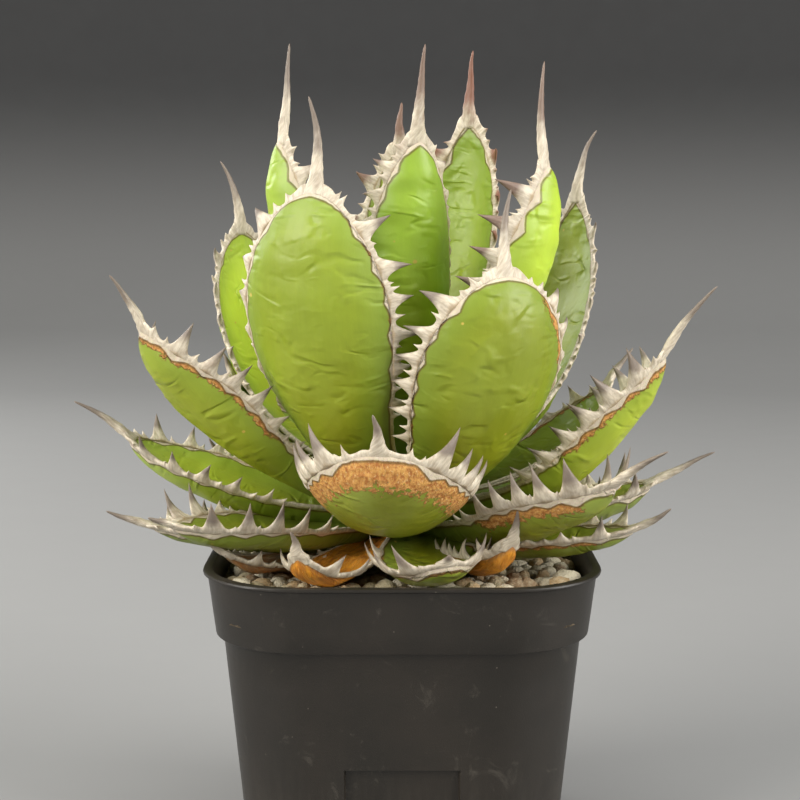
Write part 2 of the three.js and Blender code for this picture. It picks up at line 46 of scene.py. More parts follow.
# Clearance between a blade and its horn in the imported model, and the thickness of a blade's rim
GAP = 0.3
EDGE_THICKNESS = 1.0

# Horn along a blade's edge, its teeth and its end spine
HORN_SIDE_BASE = 0.4
HORN_SIDE_TIP = 0.8
HORN_CAP = 2.2
HORN_END = 0.95
HORN_FIRST_SHARE = 0.14
HORN_LINE_WIDTH = 0.45
HORN_OVERLAP = 0.6
HORN_HALF_THICKNESS = 0.72
COLUMN_SPACING = 0.5
SPINE_RADIUS = 2.6
SPINE_TIP_RADIUS = 0.3
SPINE_RINGS = 26
SPINE_SIDES = 12
SPINE_ROOT = 2.4

# Points of a blade's mesh along the midrib and across each face
BLADE_STATIONS = 72
BLADE_COLUMNS = 25
MIDRIB_STEPS = 240

# Relief of green and of withered skins in millimetres, and where it fades out beside the edge
RELIEF_DEPTH = 0.36
DRIED_RELIEF_DEPTH = 1.0
RELIEF_FADE = 4.5

# Distances are kept in the meshes' layers as shares of this many millimetres
LAYER_SPAN = 20.0

# Pot: heights above the table, and half widths of its rounded square section
POT_HEIGHT = 90.0
BASE_HALF = 44.0
BODY_TOP_HALF = 50.7
BAND_BOTTOM = 71.0
BAND_BOTTOM_HALF = 52.7
BAND_TOP_HALF = 54.8
LIP_HALF = 56.0
CORNER_SHARE = 0.5
CORNER_STEPS = 12
WALL = 1.6
FLOOR = 2.0
RECESS_WIDTH = 31.0
RECESS_HEIGHT = 37.0
RECESS_DEPTH = 1.6
DRAIN_RADIUS = 4.5
DRAIN_OFFSET = 25.0
DRAIN_SIDES = 32

# Gravel
GRAVEL_TOP = 86.0
PEBBLE_SPACING = 4.6
PEBBLE_RADIUS = (2.1, 3.3)
PEBBLE_JITTER = 1.1
PEBBLE_GRID_HALF = 52.0
GRAVEL_HALF = 51.6
STEM_CLEARANCE = 12
LARGE_STONES = [(46.0, -31.0, 86.2, 4.4), (43.5, -38.5, 86.8, 3.2), (-44.5, -40.0, 87.0, 3.0)]
GRAVEL_TONES = [(0.56, 0.51, 0.38), (0.42, 0.36, 0.22), (0.34, 0.23, 0.11), (0.22, 0.14, 0.07)]
GRAVEL_SHARES = [0.4, 0.3, 0.2, 0.1]
BED_HALF = 52.4
BED_STEPS = 48
BED_DROP = 2.6
BED_UNDERSIDE_DROP = 9

# Studio in metres: the sweep's rings as radius and height, the lights, and the camera
SWEEP_RINGS = [(0.05, 0), (0.6, 0), (1.2, 0), (1.6, 0.03), (1.9, 0.14), (2.15, 0.4), (2.25, 0.9),
               (2.25, 2.6)]
SWEEP_SIDES = 96
AIM = (0, 0, 0.13)
LIGHTS = [
    dict(name="key", place=(-1.4, -0.84, 0.98), size=1.4, power=55, color=(1.0, 0.97, 0.92)),
    dict(name="fill", place=(1.54, -0.7, 0.84), size=1.4, power=55, color=(1.0, 0.98, 0.95)),
    dict(name="top", place=(0.0, 0.0, 1.6), size=0.9, power=9, color=(1.0, 0.99, 0.97)),
    dict(name="rim", place=(-0.9, 0.8, 0.6), size=0.6, power=7, color=(1.0, 1.0, 1.0)),
]
WORLD_COLOR = (0.9, 0.95, 1.0, 1)
WORLD_STRENGTH = 0.4
CAMERA_PLACE = (-0.0006, -0.470, 0.192)
CAMERA_PITCH = 7.1
CAMERA_LENS = 72
SENSOR_WIDTH = 36

# What a leaf has unless its row says otherwise
LEAF_DEFAULTS = dict(
    base_reach=9, base_rise=98, start_angle=20, end_angle=40,
    width=40, cup=42, roll=0, side=0, bend=0, pull=0.36,
    base_share=0.34, swell=1.6, widest=0.58, blunt=0.72, horn_start=0.34,
    thick_base=5.5, thick_tip=3.6,
    spine=18, lean=0, sway=0,
    teeth=5, tooth=6.5, lift=2, horn_fused=False,
)

# Leaves from the heart outwards. reach and rise place the blade's tip, start_angle and end_angle
# are the midrib's slopes at its two ends, and cup is how far each half curls up, in degrees.
LEAVES = [
    dict(name="01", azimuth=295, reach=12, rise=209, base_reach=1, base_rise=118, start_angle=81,
         end_angle=86, width=31, cup=40, side=-1, base_share=0.42, widest=0.42, blunt=0.62,
         horn_start=0.5, spine=26, lean=-4, sway=8, tooth=4),
    dict(name="02", azimuth=56, reach=37, rise=216, base_reach=8, base_rise=115, start_angle=70,
         end_angle=96, width=30, horn_start=0.45, spine=21, lean=-8, sway=-16, teeth=4, tooth=7),
    dict(name="03", azimuth=203, reach=36, rise=209, base_rise=114, start_angle=70, end_angle=96,
         width=32, cup=45, horn_start=0.45, spine=26, lean=-4, teeth=4, tooth=6),
    dict(name="04", azimuth=-24, reach=43, rise=202, base_reach=7, base_rise=114, start_angle=64,
         end_angle=98, width=34, cup=48, horn_start=0.45, spine=28, lean=-20, sway=12, tooth=9),
    dict(name="05", azimuth=91, reach=42, rise=208, base_rise=113, start_angle=50, end_angle=96,
         width=30, cup=45, horn_start=0.45, spine=14, sway=-8, teeth=4),
    dict(name="06", azimuth=241, reach=51, rise=194, base_reach=8, base_rise=111, start_angle=14,
         end_angle=105, width=44, cup=28, roll=7, bend=2, base_share=0.4, swell=2, widest=0.66,
         blunt=0.62, spine=25, lean=-28, sway=-32, teeth=6, tooth=7),
    dict(name="07", azimuth=43, reach=77, rise=193, base_reach=8, base_rise=105, start_angle=15,
         end_angle=89, width=42, cup=26, roll=-7, base_share=0.47, swell=1.58, widest=0.5,
         blunt=0.85, horn_start=0.4, spine=22, lean=-36, sway=-32, tooth=5),
    dict(name="08", azimuth=139, reach=68, rise=183, base_reach=8, base_rise=107, start_angle=11,
         end_angle=89, width=46, cup=31, roll=3, base_share=0.51, swell=1.59, widest=0.59,
         blunt=0.7, horn_start=0.41, spine=22, lean=-36, sway=32, tooth=5),
    dict(name="09", azimuth=299, reach=54, rise=172, base_rise=108, start_angle=10, end_angle=104,
         width=46, cup=33, roll=-3, bend=1, base_share=0.4, swell=1.94, widest=0.66, blunt=0.54,
         spine=23, lean=-12, sway=28, teeth=6, tooth=7),
    dict(name="10", azimuth=203, reach=77, rise=157, base_rise=103, start_angle=28, end_angle=68,
         width=37, cup=48, roll=6, base_share=0.26, swell=2.4, widest=0.66, spine=17, lean=-28,
         sway=-12, teeth=6, tooth=8),
    dict(name="11", azimuth=-16, reach=76, rise=149, base_rise=103, start_angle=2, end_angle=62,
         width=33, cup=44, pull=0.42, swell=2, widest=0.62, spine=24, lean=-28, teeth=6, tooth=8),
    dict(name="12", azimuth=26, reach=71, rise=134, base_reach=10.5, base_rise=103, start_angle=7,
         end_angle=56, width=31, cup=28, roll=-8, widest=0.66, horn_start=0.42, spine=15, lean=-20,
         teeth=4, tooth=5),
    dict(name="13", azimuth=161, reach=54, rise=138, base_rise=104, start_angle=32, end_angle=66,
         width=27, cup=34, spine=8, teeth=4, tooth=5),
    dict(name="14", azimuth=76, reach=72, rise=160, base_rise=105, start_angle=32, end_angle=74,
         width=34, horn_start=0.42, teeth=4, tooth=7),
    dict(name="15", azimuth=117, reach=73, rise=152, base_rise=103, start_angle=26, end_angle=70,
         width=34, horn_start=0.4, teeth=4, tooth=7),
    dict(name="16", azimuth=265, reach=67, rise=128, base_reach=11, base_rise=101, start_angle=5,
         end_angle=68, width=47, cup=38, roll=-2, base_share=0.57, widest=0.54, blunt=0.5,
         thick_base=4.5, spine=11, sway=-20, teeth=6, tooth=9, lift=3),
    dict(name="17", azimuth=181, reach=80, rise=123, base_rise=99, start_angle=4, end_angle=42,
         width=42, cup=32, roll=-2, thick_base=4, thick_tip=3, spine=19, lean=-28, sway=8,
         tooth=7),
    dict(name="18", azimuth=-41, reach=74, rise=117, base_rise=97, start_angle=0, end_angle=38,
         width=33, cup=40, roll=-4, thick_base=4, spine=19, lean=-16, sway=12, teeth=6, tooth=9,
         lift=4),
    dict(name="19", azimuth=2, reach=74, rise=108.5, base_rise=95.5, start_angle=0, end_angle=28,
         width=32, cup=34, thick_base=4, spine=21, lean=-8, teeth=4, tooth=8, lift=4),
    dict(name="20", azimuth=52, reach=76, rise=112, base_rise=96, start_angle=4, end_angle=38,
         width=36, cup=34, thick_base=3.5, spine=17, teeth=4),
    dict(name="21", azimuth=94, reach=76, rise=118, base_reach=10, base_rise=99, start_angle=8,
         end_angle=44, width=38, cup=34, thick_base=3.5, teeth=4),
    dict(name="22", azimuth=136, reach=76, rise=113, base_rise=95, start_angle=4, width=36, cup=34,
         thick_base=3.5, spine=17, teeth=4),
    dict(name="23", azimuth=215, reach=75, rise=105, base_rise=96.5, start_angle=0, end_angle=20,
         width=32, cup=34, thick_base=3.5, thick_tip=3, spine=8, tooth=8, lift=4),
    dict(name="24", azimuth=194, reach=74, rise=100, base_rise=92, start_angle=0, end_angle=16,
         width=24, cup=26, thick_base=3, thick_tip=2.5, spine=13, lean=12, sway=-4, teeth=4,
         tooth=6, lift=3),
    dict(name="25", azimuth=-27, reach=72, rise=102, base_rise=92, start_angle=0, end_angle=24,
         width=26, cup=30, thick_base=2.4, thick_tip=2.5, spine=12, lean=24, teeth=4, tooth=6,
         lift=3),
    dict(name="26", azimuth=112, reach=70, rise=98, base_rise=92.5, start_angle=0, end_angle=22,
         width=28, cup=28, thick_base=3, thick_tip=2.5, spine=12, teeth=4),
    dict(name="27", azimuth=283, reach=52, rise=96, base_rise=96.5, start_angle=-6, end_angle=42,
         width=29, cup=24, roll=6, thick_base=3.5, thick_tip=3, spine=4, teeth=4, tooth=7, lift=4),
    dict(name="28", azimuth=240, reach=55, rise=97, base_rise=95, start_angle=-4, end_angle=62,
         width=19, cup=20, thick_base=2.2, thick_tip=2.2, spine=8, teeth=3, tooth=5, lift=3,
         horn_fused=True),
    dict(name="29", azimuth=306, reach=50, rise=99, base_rise=93.5, start_angle=-6, end_angle=64,
         width=14, cup=60, thick_base=2.2, thick_tip=2.5, spine=11, sway=-30, teeth=3, tooth=4,
         horn_fused=True),
    dict(name="30", azimuth=212, reach=58, rise=94.5, base_rise=91.5, start_angle=-2, end_angle=36,
         width=16, cup=30, thick_base=2, thick_tip=1.6, spine=9, teeth=3, tooth=4,
         horn_fused=True),
]

# How each leaf has aged, from 0 for the fresh heart to 1 for the oldest, and how red its spine is
AGES = {
    "01": 0.0, "02": 0.25, "03": 0.2, "04": 0.3, "05": 0.45, "06": 0.4, "07": 0.5, "08": 0.35,
    "09": 0.5, "10": 0.6, "11": 0.55, "12": 0.35, "13": 0.4, "14": 0.5, "15": 0.5, "16": 0.8,
    "17": 0.45, "18": 0.85, "19": 0.85, "20": 0.7, "21": 0.7, "22": 0.7, "23": 0.85, "24": 0.8,
    "25": 0.85, "26": 0.85, "27": 0.8,
}
RUDDY = {"01": 0.35, "02": 1.0, "04": 0.3, "05": 0.6}

# How much each leaf's skin is brightened or darkened from its age's tone, as painted light and shade
# for how light falls on it, and how much deeper its imprints are
PAINTED_LIGHT = {
    "01": 0.9, "02": 0.75, "04": 1.5, "06": 0.85, "07": 1.15, "08": 1.9, "09": 0.8, "10": 1.2,
    "11": 1.5, "17": 1.3, "18": 1.2, "25": 1.3,
}
WRINKLED = {"01": 1.7, "04": 1.3, "07": 1.4, "08": 1.5}

# Horn at a leaf's tip beyond the plain band, where it isn't as wide as most
HORN_CAPS = {"16": 0.7, "27": 0.8, "28": 1.2, "30": 0.8}

# Corky scurf along a leaf's edge: side, width, and where it starts and ends along the leaf
SCURF = {
    "06": [(1, 1.0, 0.55, 0.95)],
    "09": [(1, 3.2, 0.68, 0.93), (-1, 0.9, 0.3, 0.9)],
    "10": [(1, 2.2, 0.45, 1.0), (-1, 1.0, 0.5, 1.0)],
    "11": [(-1, 2.6, 0.55, 1.0), (1, 1.0, 0.6, 1.0)],
    "12": [(1, 1.6, 0.6, 1.0), (-1, 0.8, 0.5, 1.0)],
    "16": [(1, 7.5, 0.42, 1.2), (-1, 7.5, 0.42, 1.2)],
    "18": [(-1, 4.5, 0.45, 0.9), (1, 1.0, 0.5, 1.0)],
    "25": [(-1, 2.0, 0.4, 0.9)],
    "27": [(1, 1.2, 0.4, 1.0), (-1, 1.2, 0.4, 1.0)],
}

# Skins of the leaves at ages 0, 0.5 and 1, and of the withered ones, as linear colours
LEAF_TONES = [(0.35, 0.53, 0.045), (0.27, 0.33, 0.018), (0.17, 0.165, 0.008)]
DRIED_TONES = {"28": (0.85, 0.36, 0.025), "29": (0.85, 0.36, 0.025), "30": (0.33, 0.25, 0.14)}


# Small helpers
def mix(start, end, share):
    return start + (end - start) * share


def smooth(low, high, value):
    share = np.clip((value - low) / (high - low), 0, 1)
    return share * share * (3 - 2 * share)


def unit(vectors):
    return vectors / np.linalg.norm(vectors, axis=-1, keepdims=True)


# Distance along a line at each of its points
def arc_length(line):
    return np.concatenate([[0], np.cumsum(np.linalg.norm(np.diff(line, axis=0), axis=1))])


# Places on a flat line at distances along it
def places_at(distances, reached, line):
    return np.column_stack([np.interp(distances, reached, line[:, k]) for k in (0, 1)])


# Places for the materials' noise, which differ from leaf to leaf
def spots_of(leaf, across, along):
    return np.column_stack([across, along, np.full(len(across), leaf.seed * 40.0)])


# Repeatable draws between 0 and 1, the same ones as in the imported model's teeth
def dice(seed):
    state = seed * 7919 + 17
    while True:
        state = (state * 16807) % 2147483647
        yield state / 2147483647


# Smooth noise between -1 and 1 from a few seeded waves
def waves(points, seed, scale, count=7):
    random = np.random.default_rng(seed)
    total = np.zeros(len(points))
    for _ in range(count):
        direction = random.normal(size=points.shape[1])
        direction /= np.linalg.norm(direction)
        rate = 2 * math.pi / (scale * random.uniform(0.6, 1.6))
        total += np.sin(points @ direction * rate + random.uniform(0, 2 * math.pi))
    return total / count ** 0.5 / 1.4


# A mesh object from points in millimetres, with its named layers of data
def make_piece(name, points, faces, materials, layers=None, face_materials=None):
    mesh = bpy.data.meshes.new(name)
    mesh.from_pydata((np.asarray(points) * MM).tolist(), [], faces)
    for material in materials:
        mesh.materials.append(material)
    if face_materials is not None:
        mesh.polygons.foreach_set("material_index", face_materials)
    mesh.polygons.foreach_set("use_smooth", [True] * len(mesh.polygons))
    for layer, values in (layers or {}).items():
        values = np.asarray(values, np.float32)
        is_color = values.shape[1] == 4
        attribute = mesh.attributes.new(layer, "FLOAT_COLOR" if is_color else "FLOAT_VECTOR", "POINT")
        attribute.data.foreach_set("color" if is_color else "vector", values.ravel())
    mesh.update()
    piece = bpy.data.objects.new(name, mesh)
    bpy.context.scene.collection.objects.link(piece)
    return piece


# Faces of a tube of rings with the same number of points, closed at both ends
def tube_faces(rings, count, first=0):
    faces = []
    for ring in range(rings - 1):
        for i in range(count):
            here = first + ring * count + i
            beside = first + ring * count + (i + 1) % count
            faces.append((here, beside, beside + count, here + count))
    last = first + (rings - 1) * count
    faces.append(tuple(range(first + count - 1, first - 1, -1)))
    faces.append(tuple(range(last, last + count)))
    return faces


# A leaf's form. Points are given on the flattened blade: along the midrib, and across it.
class Leaf:
    def __init__(self, row):
        for key, value in {**LEAF_DEFAULTS, **row}.items():
            setattr(self, key, value)
        azimuth = math.radians(self.azimuth)
        outward = np.array([math.cos(azimuth), math.sin(azimuth), 0])
        self.across = np.array([-math.sin(azimuth), math.cos(azimuth), 0])
        self.seed = int(self.name)

        def place(reach, rise, shift):
            return outward * reach + self.across * shift + np.array([0, 0, rise])

        span = self.pull * math.hypot(self.reach - self.base_reach, self.rise - self.base_rise)
        start = math.radians(self.start_angle)
        end = math.radians(self.end_angle)
        self.controls = np.array([
            place(self.base_reach, self.base_rise, self.side),
            place(self.base_reach + span * math.cos(start), self.base_rise + span * math.sin(start),
                  self.side),
            place(self.reach - span * math.cos(end), self.rise - span * math.sin(end),
                  self.side + self.bend / 3),
            place(self.reach, self.rise, self.side + self.bend),
        ])
        self.times = np.linspace(0, 1, MIDRIB_STEPS + 1)
        self.reached = arc_length(self.curve(self.times))
        self.length = self.reached[-1]

    # Points of the midrib at times from 0 to 1
    def curve(self, times):
        t = np.asarray(times)[:, None]
        a, b, c, d = self.controls
        return (1 - t) ** 3 * a + 3 * (1 - t) ** 2 * t * b + 3 * (1 - t) * t ** 2 * c + t ** 3 * d

    # The midrib's points, directions, sideways and upper-face directions
    def frame(self, along):
        share = np.clip(along / self.length, 0, 1)
        times = np.interp(share * self.length, self.reached, self.times)
        t = times[:, None]
        a, b, c, d = self.controls
        ahead = unit((1 - t) ** 2 * (b - a) + 2 * (1 - t) * t * (c - b) + t ** 2 * (d - c))
        point = self.curve(times) + ahead * (along - share * self.length)[:, None]
        level = unit(self.across - ahead * (ahead @ self.across)[:, None])
        up = np.cross(ahead, level)
        roll = (math.radians(self.roll) * np.clip(share * 1.5, 0, 1))[:, None]
        sideways = level * np.cos(roll) + up * np.sin(roll)
        inward = up * np.cos(roll) - level * np.sin(roll)
        return point, ahead, sideways, inward

    # Radius of the cupped section
    def radius(self, along):
        middle = (self.width / 2) / math.radians(self.cup)
        base = (self.width / 2) * self.base_share / math.radians(min(self.cup * 1.5, 70))
        return mix(base, middle, smooth(0, 0.5, along / self.length))

    # Points in space for places on the flattened blade, at heights over the upper face
    def at(self, along, aside, height):
        along, aside, height = np.broadcast_arrays(
            np.asarray(along, float), np.asarray(aside, float), np.asarray(height, float))
        point, ahead, sideways, inward = self.frame(along.ravel())
        radius = self.radius(along.ravel())
        angle = aside.ravel() / radius
        reach = radius - height.ravel()
        return (point + sideways * (reach * np.sin(angle))[:, None]
                + inward * (radius - reach * np.cos(angle))[:, None])

    # Half width of the flattened blade
    def half_width(self, along):
        share = np.clip(along / self.length, 0, 1)
        swell = np.sin(math.pi / 2 * np.minimum(share / self.widest, 1)) ** self.swell
        rest = np.clip((share - self.widest) / (1 - self.widest), 0, 1)
        wide = mix(self.base_share, 1, swell)
        return self.width / 2 * np.where(share < self.widest, wide, (1 - rest ** 2) ** self.blunt)

    # Thickness under the upper face
    def thickness(self, along, across_share):
        share = np.clip(along / self.length, 0, 1)
        middle = mix(self.thick_base, self.thick_tip, np.minimum(share / 0.8, 1))
        fade = np.sqrt(np.clip((1 - share) / 0.12, 0, 1))
        return EDGE_THICKNESS + middle * fade * (1 - across_share ** 2)

    # Places along the midrib where the teeth begin and end
    def rows(self):
        order = np.arange(self.teeth + 1) / self.teeth
        return self.length * mix(self.horn_start, HORN_END, order ** 0.9)

    # Outline of the blade from one side's base round the tip to the other side's base
    def outline(self, first_share):
        tau = np.linspace(0, 1, 400)
        along = self.length * (1 - (1 - first_share) * (1 - tau) ** 2)
        right = np.column_stack([along, self.half_width(along)])
        return np.vstack([right, right[-2::-1] * [1, -1]])


# Relief of a leaf's faces in millimetres, for places on the flattened blade
def relief(leaf, along, aside, depth):
    points = np.column_stack([aside * 1.0, along * 1.6])
    broad = waves(points, leaf.seed * 11 + 1, 22)
    # Imprints run in arcs that follow the edges of the leaves that pressed on this one
    arcs = along * 1.0 + np.abs(aside) * 0.7
    wander = waves(points, leaf.seed * 11 + 2, 30) * 6
    ripples = np.sin((arcs + wander) * 2 * math.pi / 9.0) * smooth(-0.2, 0.8, waves(
        points, leaf.seed * 11 + 3, 34))
    return depth * (0.7 * broad + 0.42 * ripples)


# Distance from each place on the flattened blade to the blade's outline
def edge_distance(places, outline):
    best = np.full(len(places), 1e9)
    starts = outline[:-1]
    runs = outline[1:] - starts
    sizes = np.maximum((runs ** 2).sum(1), 1e-9)
    for start in range(0, len(places), 512):
        part = places[start:start + 512]
        offset = part[:, None, :] - starts[None]
        share = np.clip((offset * runs[None]).sum(2) / sizes[None], 0, 1)
        gap = np.linalg.norm(offset - share[..., None] * runs[None], axis=2)
        best[start:start + 512] = gap.min(1)
    return best


# Width of the scurf beside each place of a leaf's edge
def scurf_width(leaf, along, aside):
    share = along / leaf.length
    width = np.full(len(along), 0.35)
    for side, size, start, end in SCURF.get(leaf.name, []):
        here = smooth(start - 0.04, start + 0.06, share) * (1 - smooth(end - 0.04, end + 0.04, share))
        width = np.maximum(width, size * here * (aside * side >= -2))
    return width


# How far the horn runs in over the skin at each place of the blade, in millimetres
def horn_reach(leaf, places):
    outline = leaf.outline(0.0)
    reached = arc_length(outline)
    teeth = teeth_of(leaf, outline, reached)
    nearest = np.zeros(len(places))
    for start in range(0, len(places), 512):
        part = places[start:start + 512]
        gaps = np.linalg.norm(part[:, None] - outline[None], axis=2)
        nearest[start:start + 512] = reached[gaps.argmin(1)]
    reach = np.full(len(places), HORN_OVERLAP - 0.25)
    for place, length, _, half, _ in teeth:
        near = np.clip(1 - np.abs(nearest - place) / (half * 1.3), 0, 1)
        reach = np.maximum(reach, HORN_OVERLAP + 0.19 * length * near ** 1.3)
    tip = reached[-1] / 2
    cap = HORN_CAPS.get(leaf.name, HORN_CAP)
    return reach + 0.35 * cap * (1 - smooth(2, 9, np.abs(nearest - tip)))


# Points, faces and layers of a leaf's blade
def blade_mesh(leaf):
    tau = np.linspace(0, 1, BLADE_STATIONS)
    stations = leaf.length * (1 - (1 - tau) ** 1.7) * 0.999
    even = np.linspace(-1, 1, BLADE_COLUMNS)
    shares = mix(even, np.sin(even * math.pi / 2), 0.55)
    depth = RELIEF_DEPTH * WRINKLED.get(leaf.name, 1.0)
    if leaf.horn_fused:
        depth = DRIED_RELIEF_DEPTH
    rings = []
    places = []
    for along in stations:
        half = float(leaf.half_width(np.array([along]))[0])
        half = max(half, 0.15)
        aside = shares * half
        spot = np.full(BLADE_COLUMNS, along)
        fade = smooth(0, RELIEF_FADE, half - np.abs(aside))
        upper = relief(leaf, spot, aside, depth) * fade
        under = relief(leaf, spot, aside + 200, depth) * fade
        thick = leaf.thickness(spot, shares)
        rings.append(leaf.at(spot, aside, upper)[::-1])
        rings.append(leaf.at([along], [-half - 0.2], [-EDGE_THICKNESS / 2]))
        rings.append(leaf.at(spot, aside, under - thick))
        rings.append(leaf.at([along], [half + 0.2], [-EDGE_THICKNESS / 2]))
        places += [(along, value) for value in aside[::-1]] + [(along, -half)]
        places += [(along, value) for value in aside] + [(along, half)]
    points = np.vstack(rings)
    places = np.array(places)
    count = 2 * BLADE_COLUMNS + 2
    distance = edge_distance(places, leaf.outline(0.0)[::3])
    info = np.column_stack([
        np.clip(distance / LAYER_SPAN, 0, 1), places[:, 0] / leaf.length,
        scurf_width(leaf, places[:, 0], places[:, 1]) / LAYER_SPAN, np.ones(len(places)),
    ])
    spots = spots_of(leaf, places[:, 1], places[:, 0])
    faces = tube_faces(len(stations), count)
    return points, faces, info, spots, horn_reach(leaf, places)


# Where a leaf's teeth stand on its outline: place, length, hook towards the base, half width, lift
def teeth_of(leaf, outline, reached):
    random = dice(leaf.seed)
    own = np.random.default_rng(leaf.seed * 97 + 5)
    rows = leaf.rows()
    tip = [leaf.length, 0.35 * float(leaf.half_width(np.array([0.98 * leaf.length]))[0])]
    right = [[along, float(leaf.half_width(np.array([along]))[0])] for along in rows] + [tip]
    coarse = np.array(right + [[along, -aside] for along, aside in right[::-1]])
    count = len(coarse)
    found = []
    for i in range(count - 1):
        order = i if i < leaf.teeth else count - 2 - i
        if order >= leaf.teeth:
            continue
        share = (order + 0.5) / leaf.teeth
        length = leaf.tooth * mix(0.4, 1.1, share) * mix(0.8, 1.15, next(random))
        length = 1.12 * length + 0.6
        hook = mix(2.6, 0.4, share) * mix(0.6, 1.3, next(random))
        foot = (coarse[i] + coarse[i + 1]) / 2
        nearest = np.argmin(np.linalg.norm(outline - foot, axis=1))
        hook += own.uniform(-1.6, 1.2)
        found.append((reached[nearest], length, hook, 1.5 + 0.3 * length, leaf.lift))
    # Small teeth between the large ones
    main = np.array([tooth[0] for tooth in found])
    first, last = main.min() - 5, main.max() + 5
    middle = (first + last) / 2
    for place in np.arange(first, last, 3.4):
        spot = place + own.uniform(-1.2, 1.2)
        room = np.abs(main - spot).min()
        size = own.uniform(0.5, 2.3)
        if room > 3.0 and abs(spot - middle) > 5:
            found.append((spot, size, own.uniform(-0.4, 0.9), 0.9 + 0.2 * size, 0.3))
    return found


# Whether points lie in a leaf's blade, grown by a margin
def inside_blade(leaf, points, margin=0.3):
    along = np.linspace(0, leaf.length, 60)
    centre, ahead, sideways, inward = leaf.frame(along)
    nearest = np.linalg.norm(points[:, None] - centre[None], axis=2).argmin(1)
    offset = points - centre[nearest]
    shift = (offset * ahead[nearest]).sum(1)
    radius = leaf.radius(along)[nearest]
    aside_part = (offset * sideways[nearest]).sum(1)
    rise = (offset * inward[nearest]).sum(1)
    spread = np.arctan2(aside_part, radius - rise)
    height = radius - np.hypot(aside_part, radius - rise)
    place = along[nearest] + shift
    half = leaf.half_width(place)
    share = np.clip(np.abs(spread * radius) / np.maximum(half, 0.1), 0, 1)
    thick = leaf.thickness(place, share)
    in_length = (place > 0) & (place < leaf.length)
    return in_length & (np.abs(spread) * radius < half + margin) & (height < margin) & (
        height > -thick - margin)


# Share of each tooth's length that is clear of the other leaves
def clear_shares(leaf, others, outline, reached, teeth):
    parts = np.linspace(0.15, 1, 8)
    place, length, hook, _, rise = np.array(teeth).T[:, :, None]
    place = place[:, 0]
    foot = places_at(place, reached, outline)
    run = unit(places_at(place + 1, reached, outline) - places_at(place - 1, reached, outline))
    distance = HORN_SIDE_TIP + length * parts[None]
    along = foot[:, :1] - run[:, 1:] * distance - hook * parts[None] ** 1.6
    aside = foot[:, 1:] + run[:, :1] * distance
    height = -EDGE_THICKNESS / 2 + rise * parts[None] ** 1.4
    points = leaf.at(along, aside, height)
    hit = np.zeros(len(points), bool)
    for other in others:
        hit |= inside_blade(other, points)
    hit = hit.reshape(len(teeth), len(parts))
    return np.where(hit.any(1), np.maximum(parts[hit.argmax(1)] - 0.14, 0.3), 1.0)


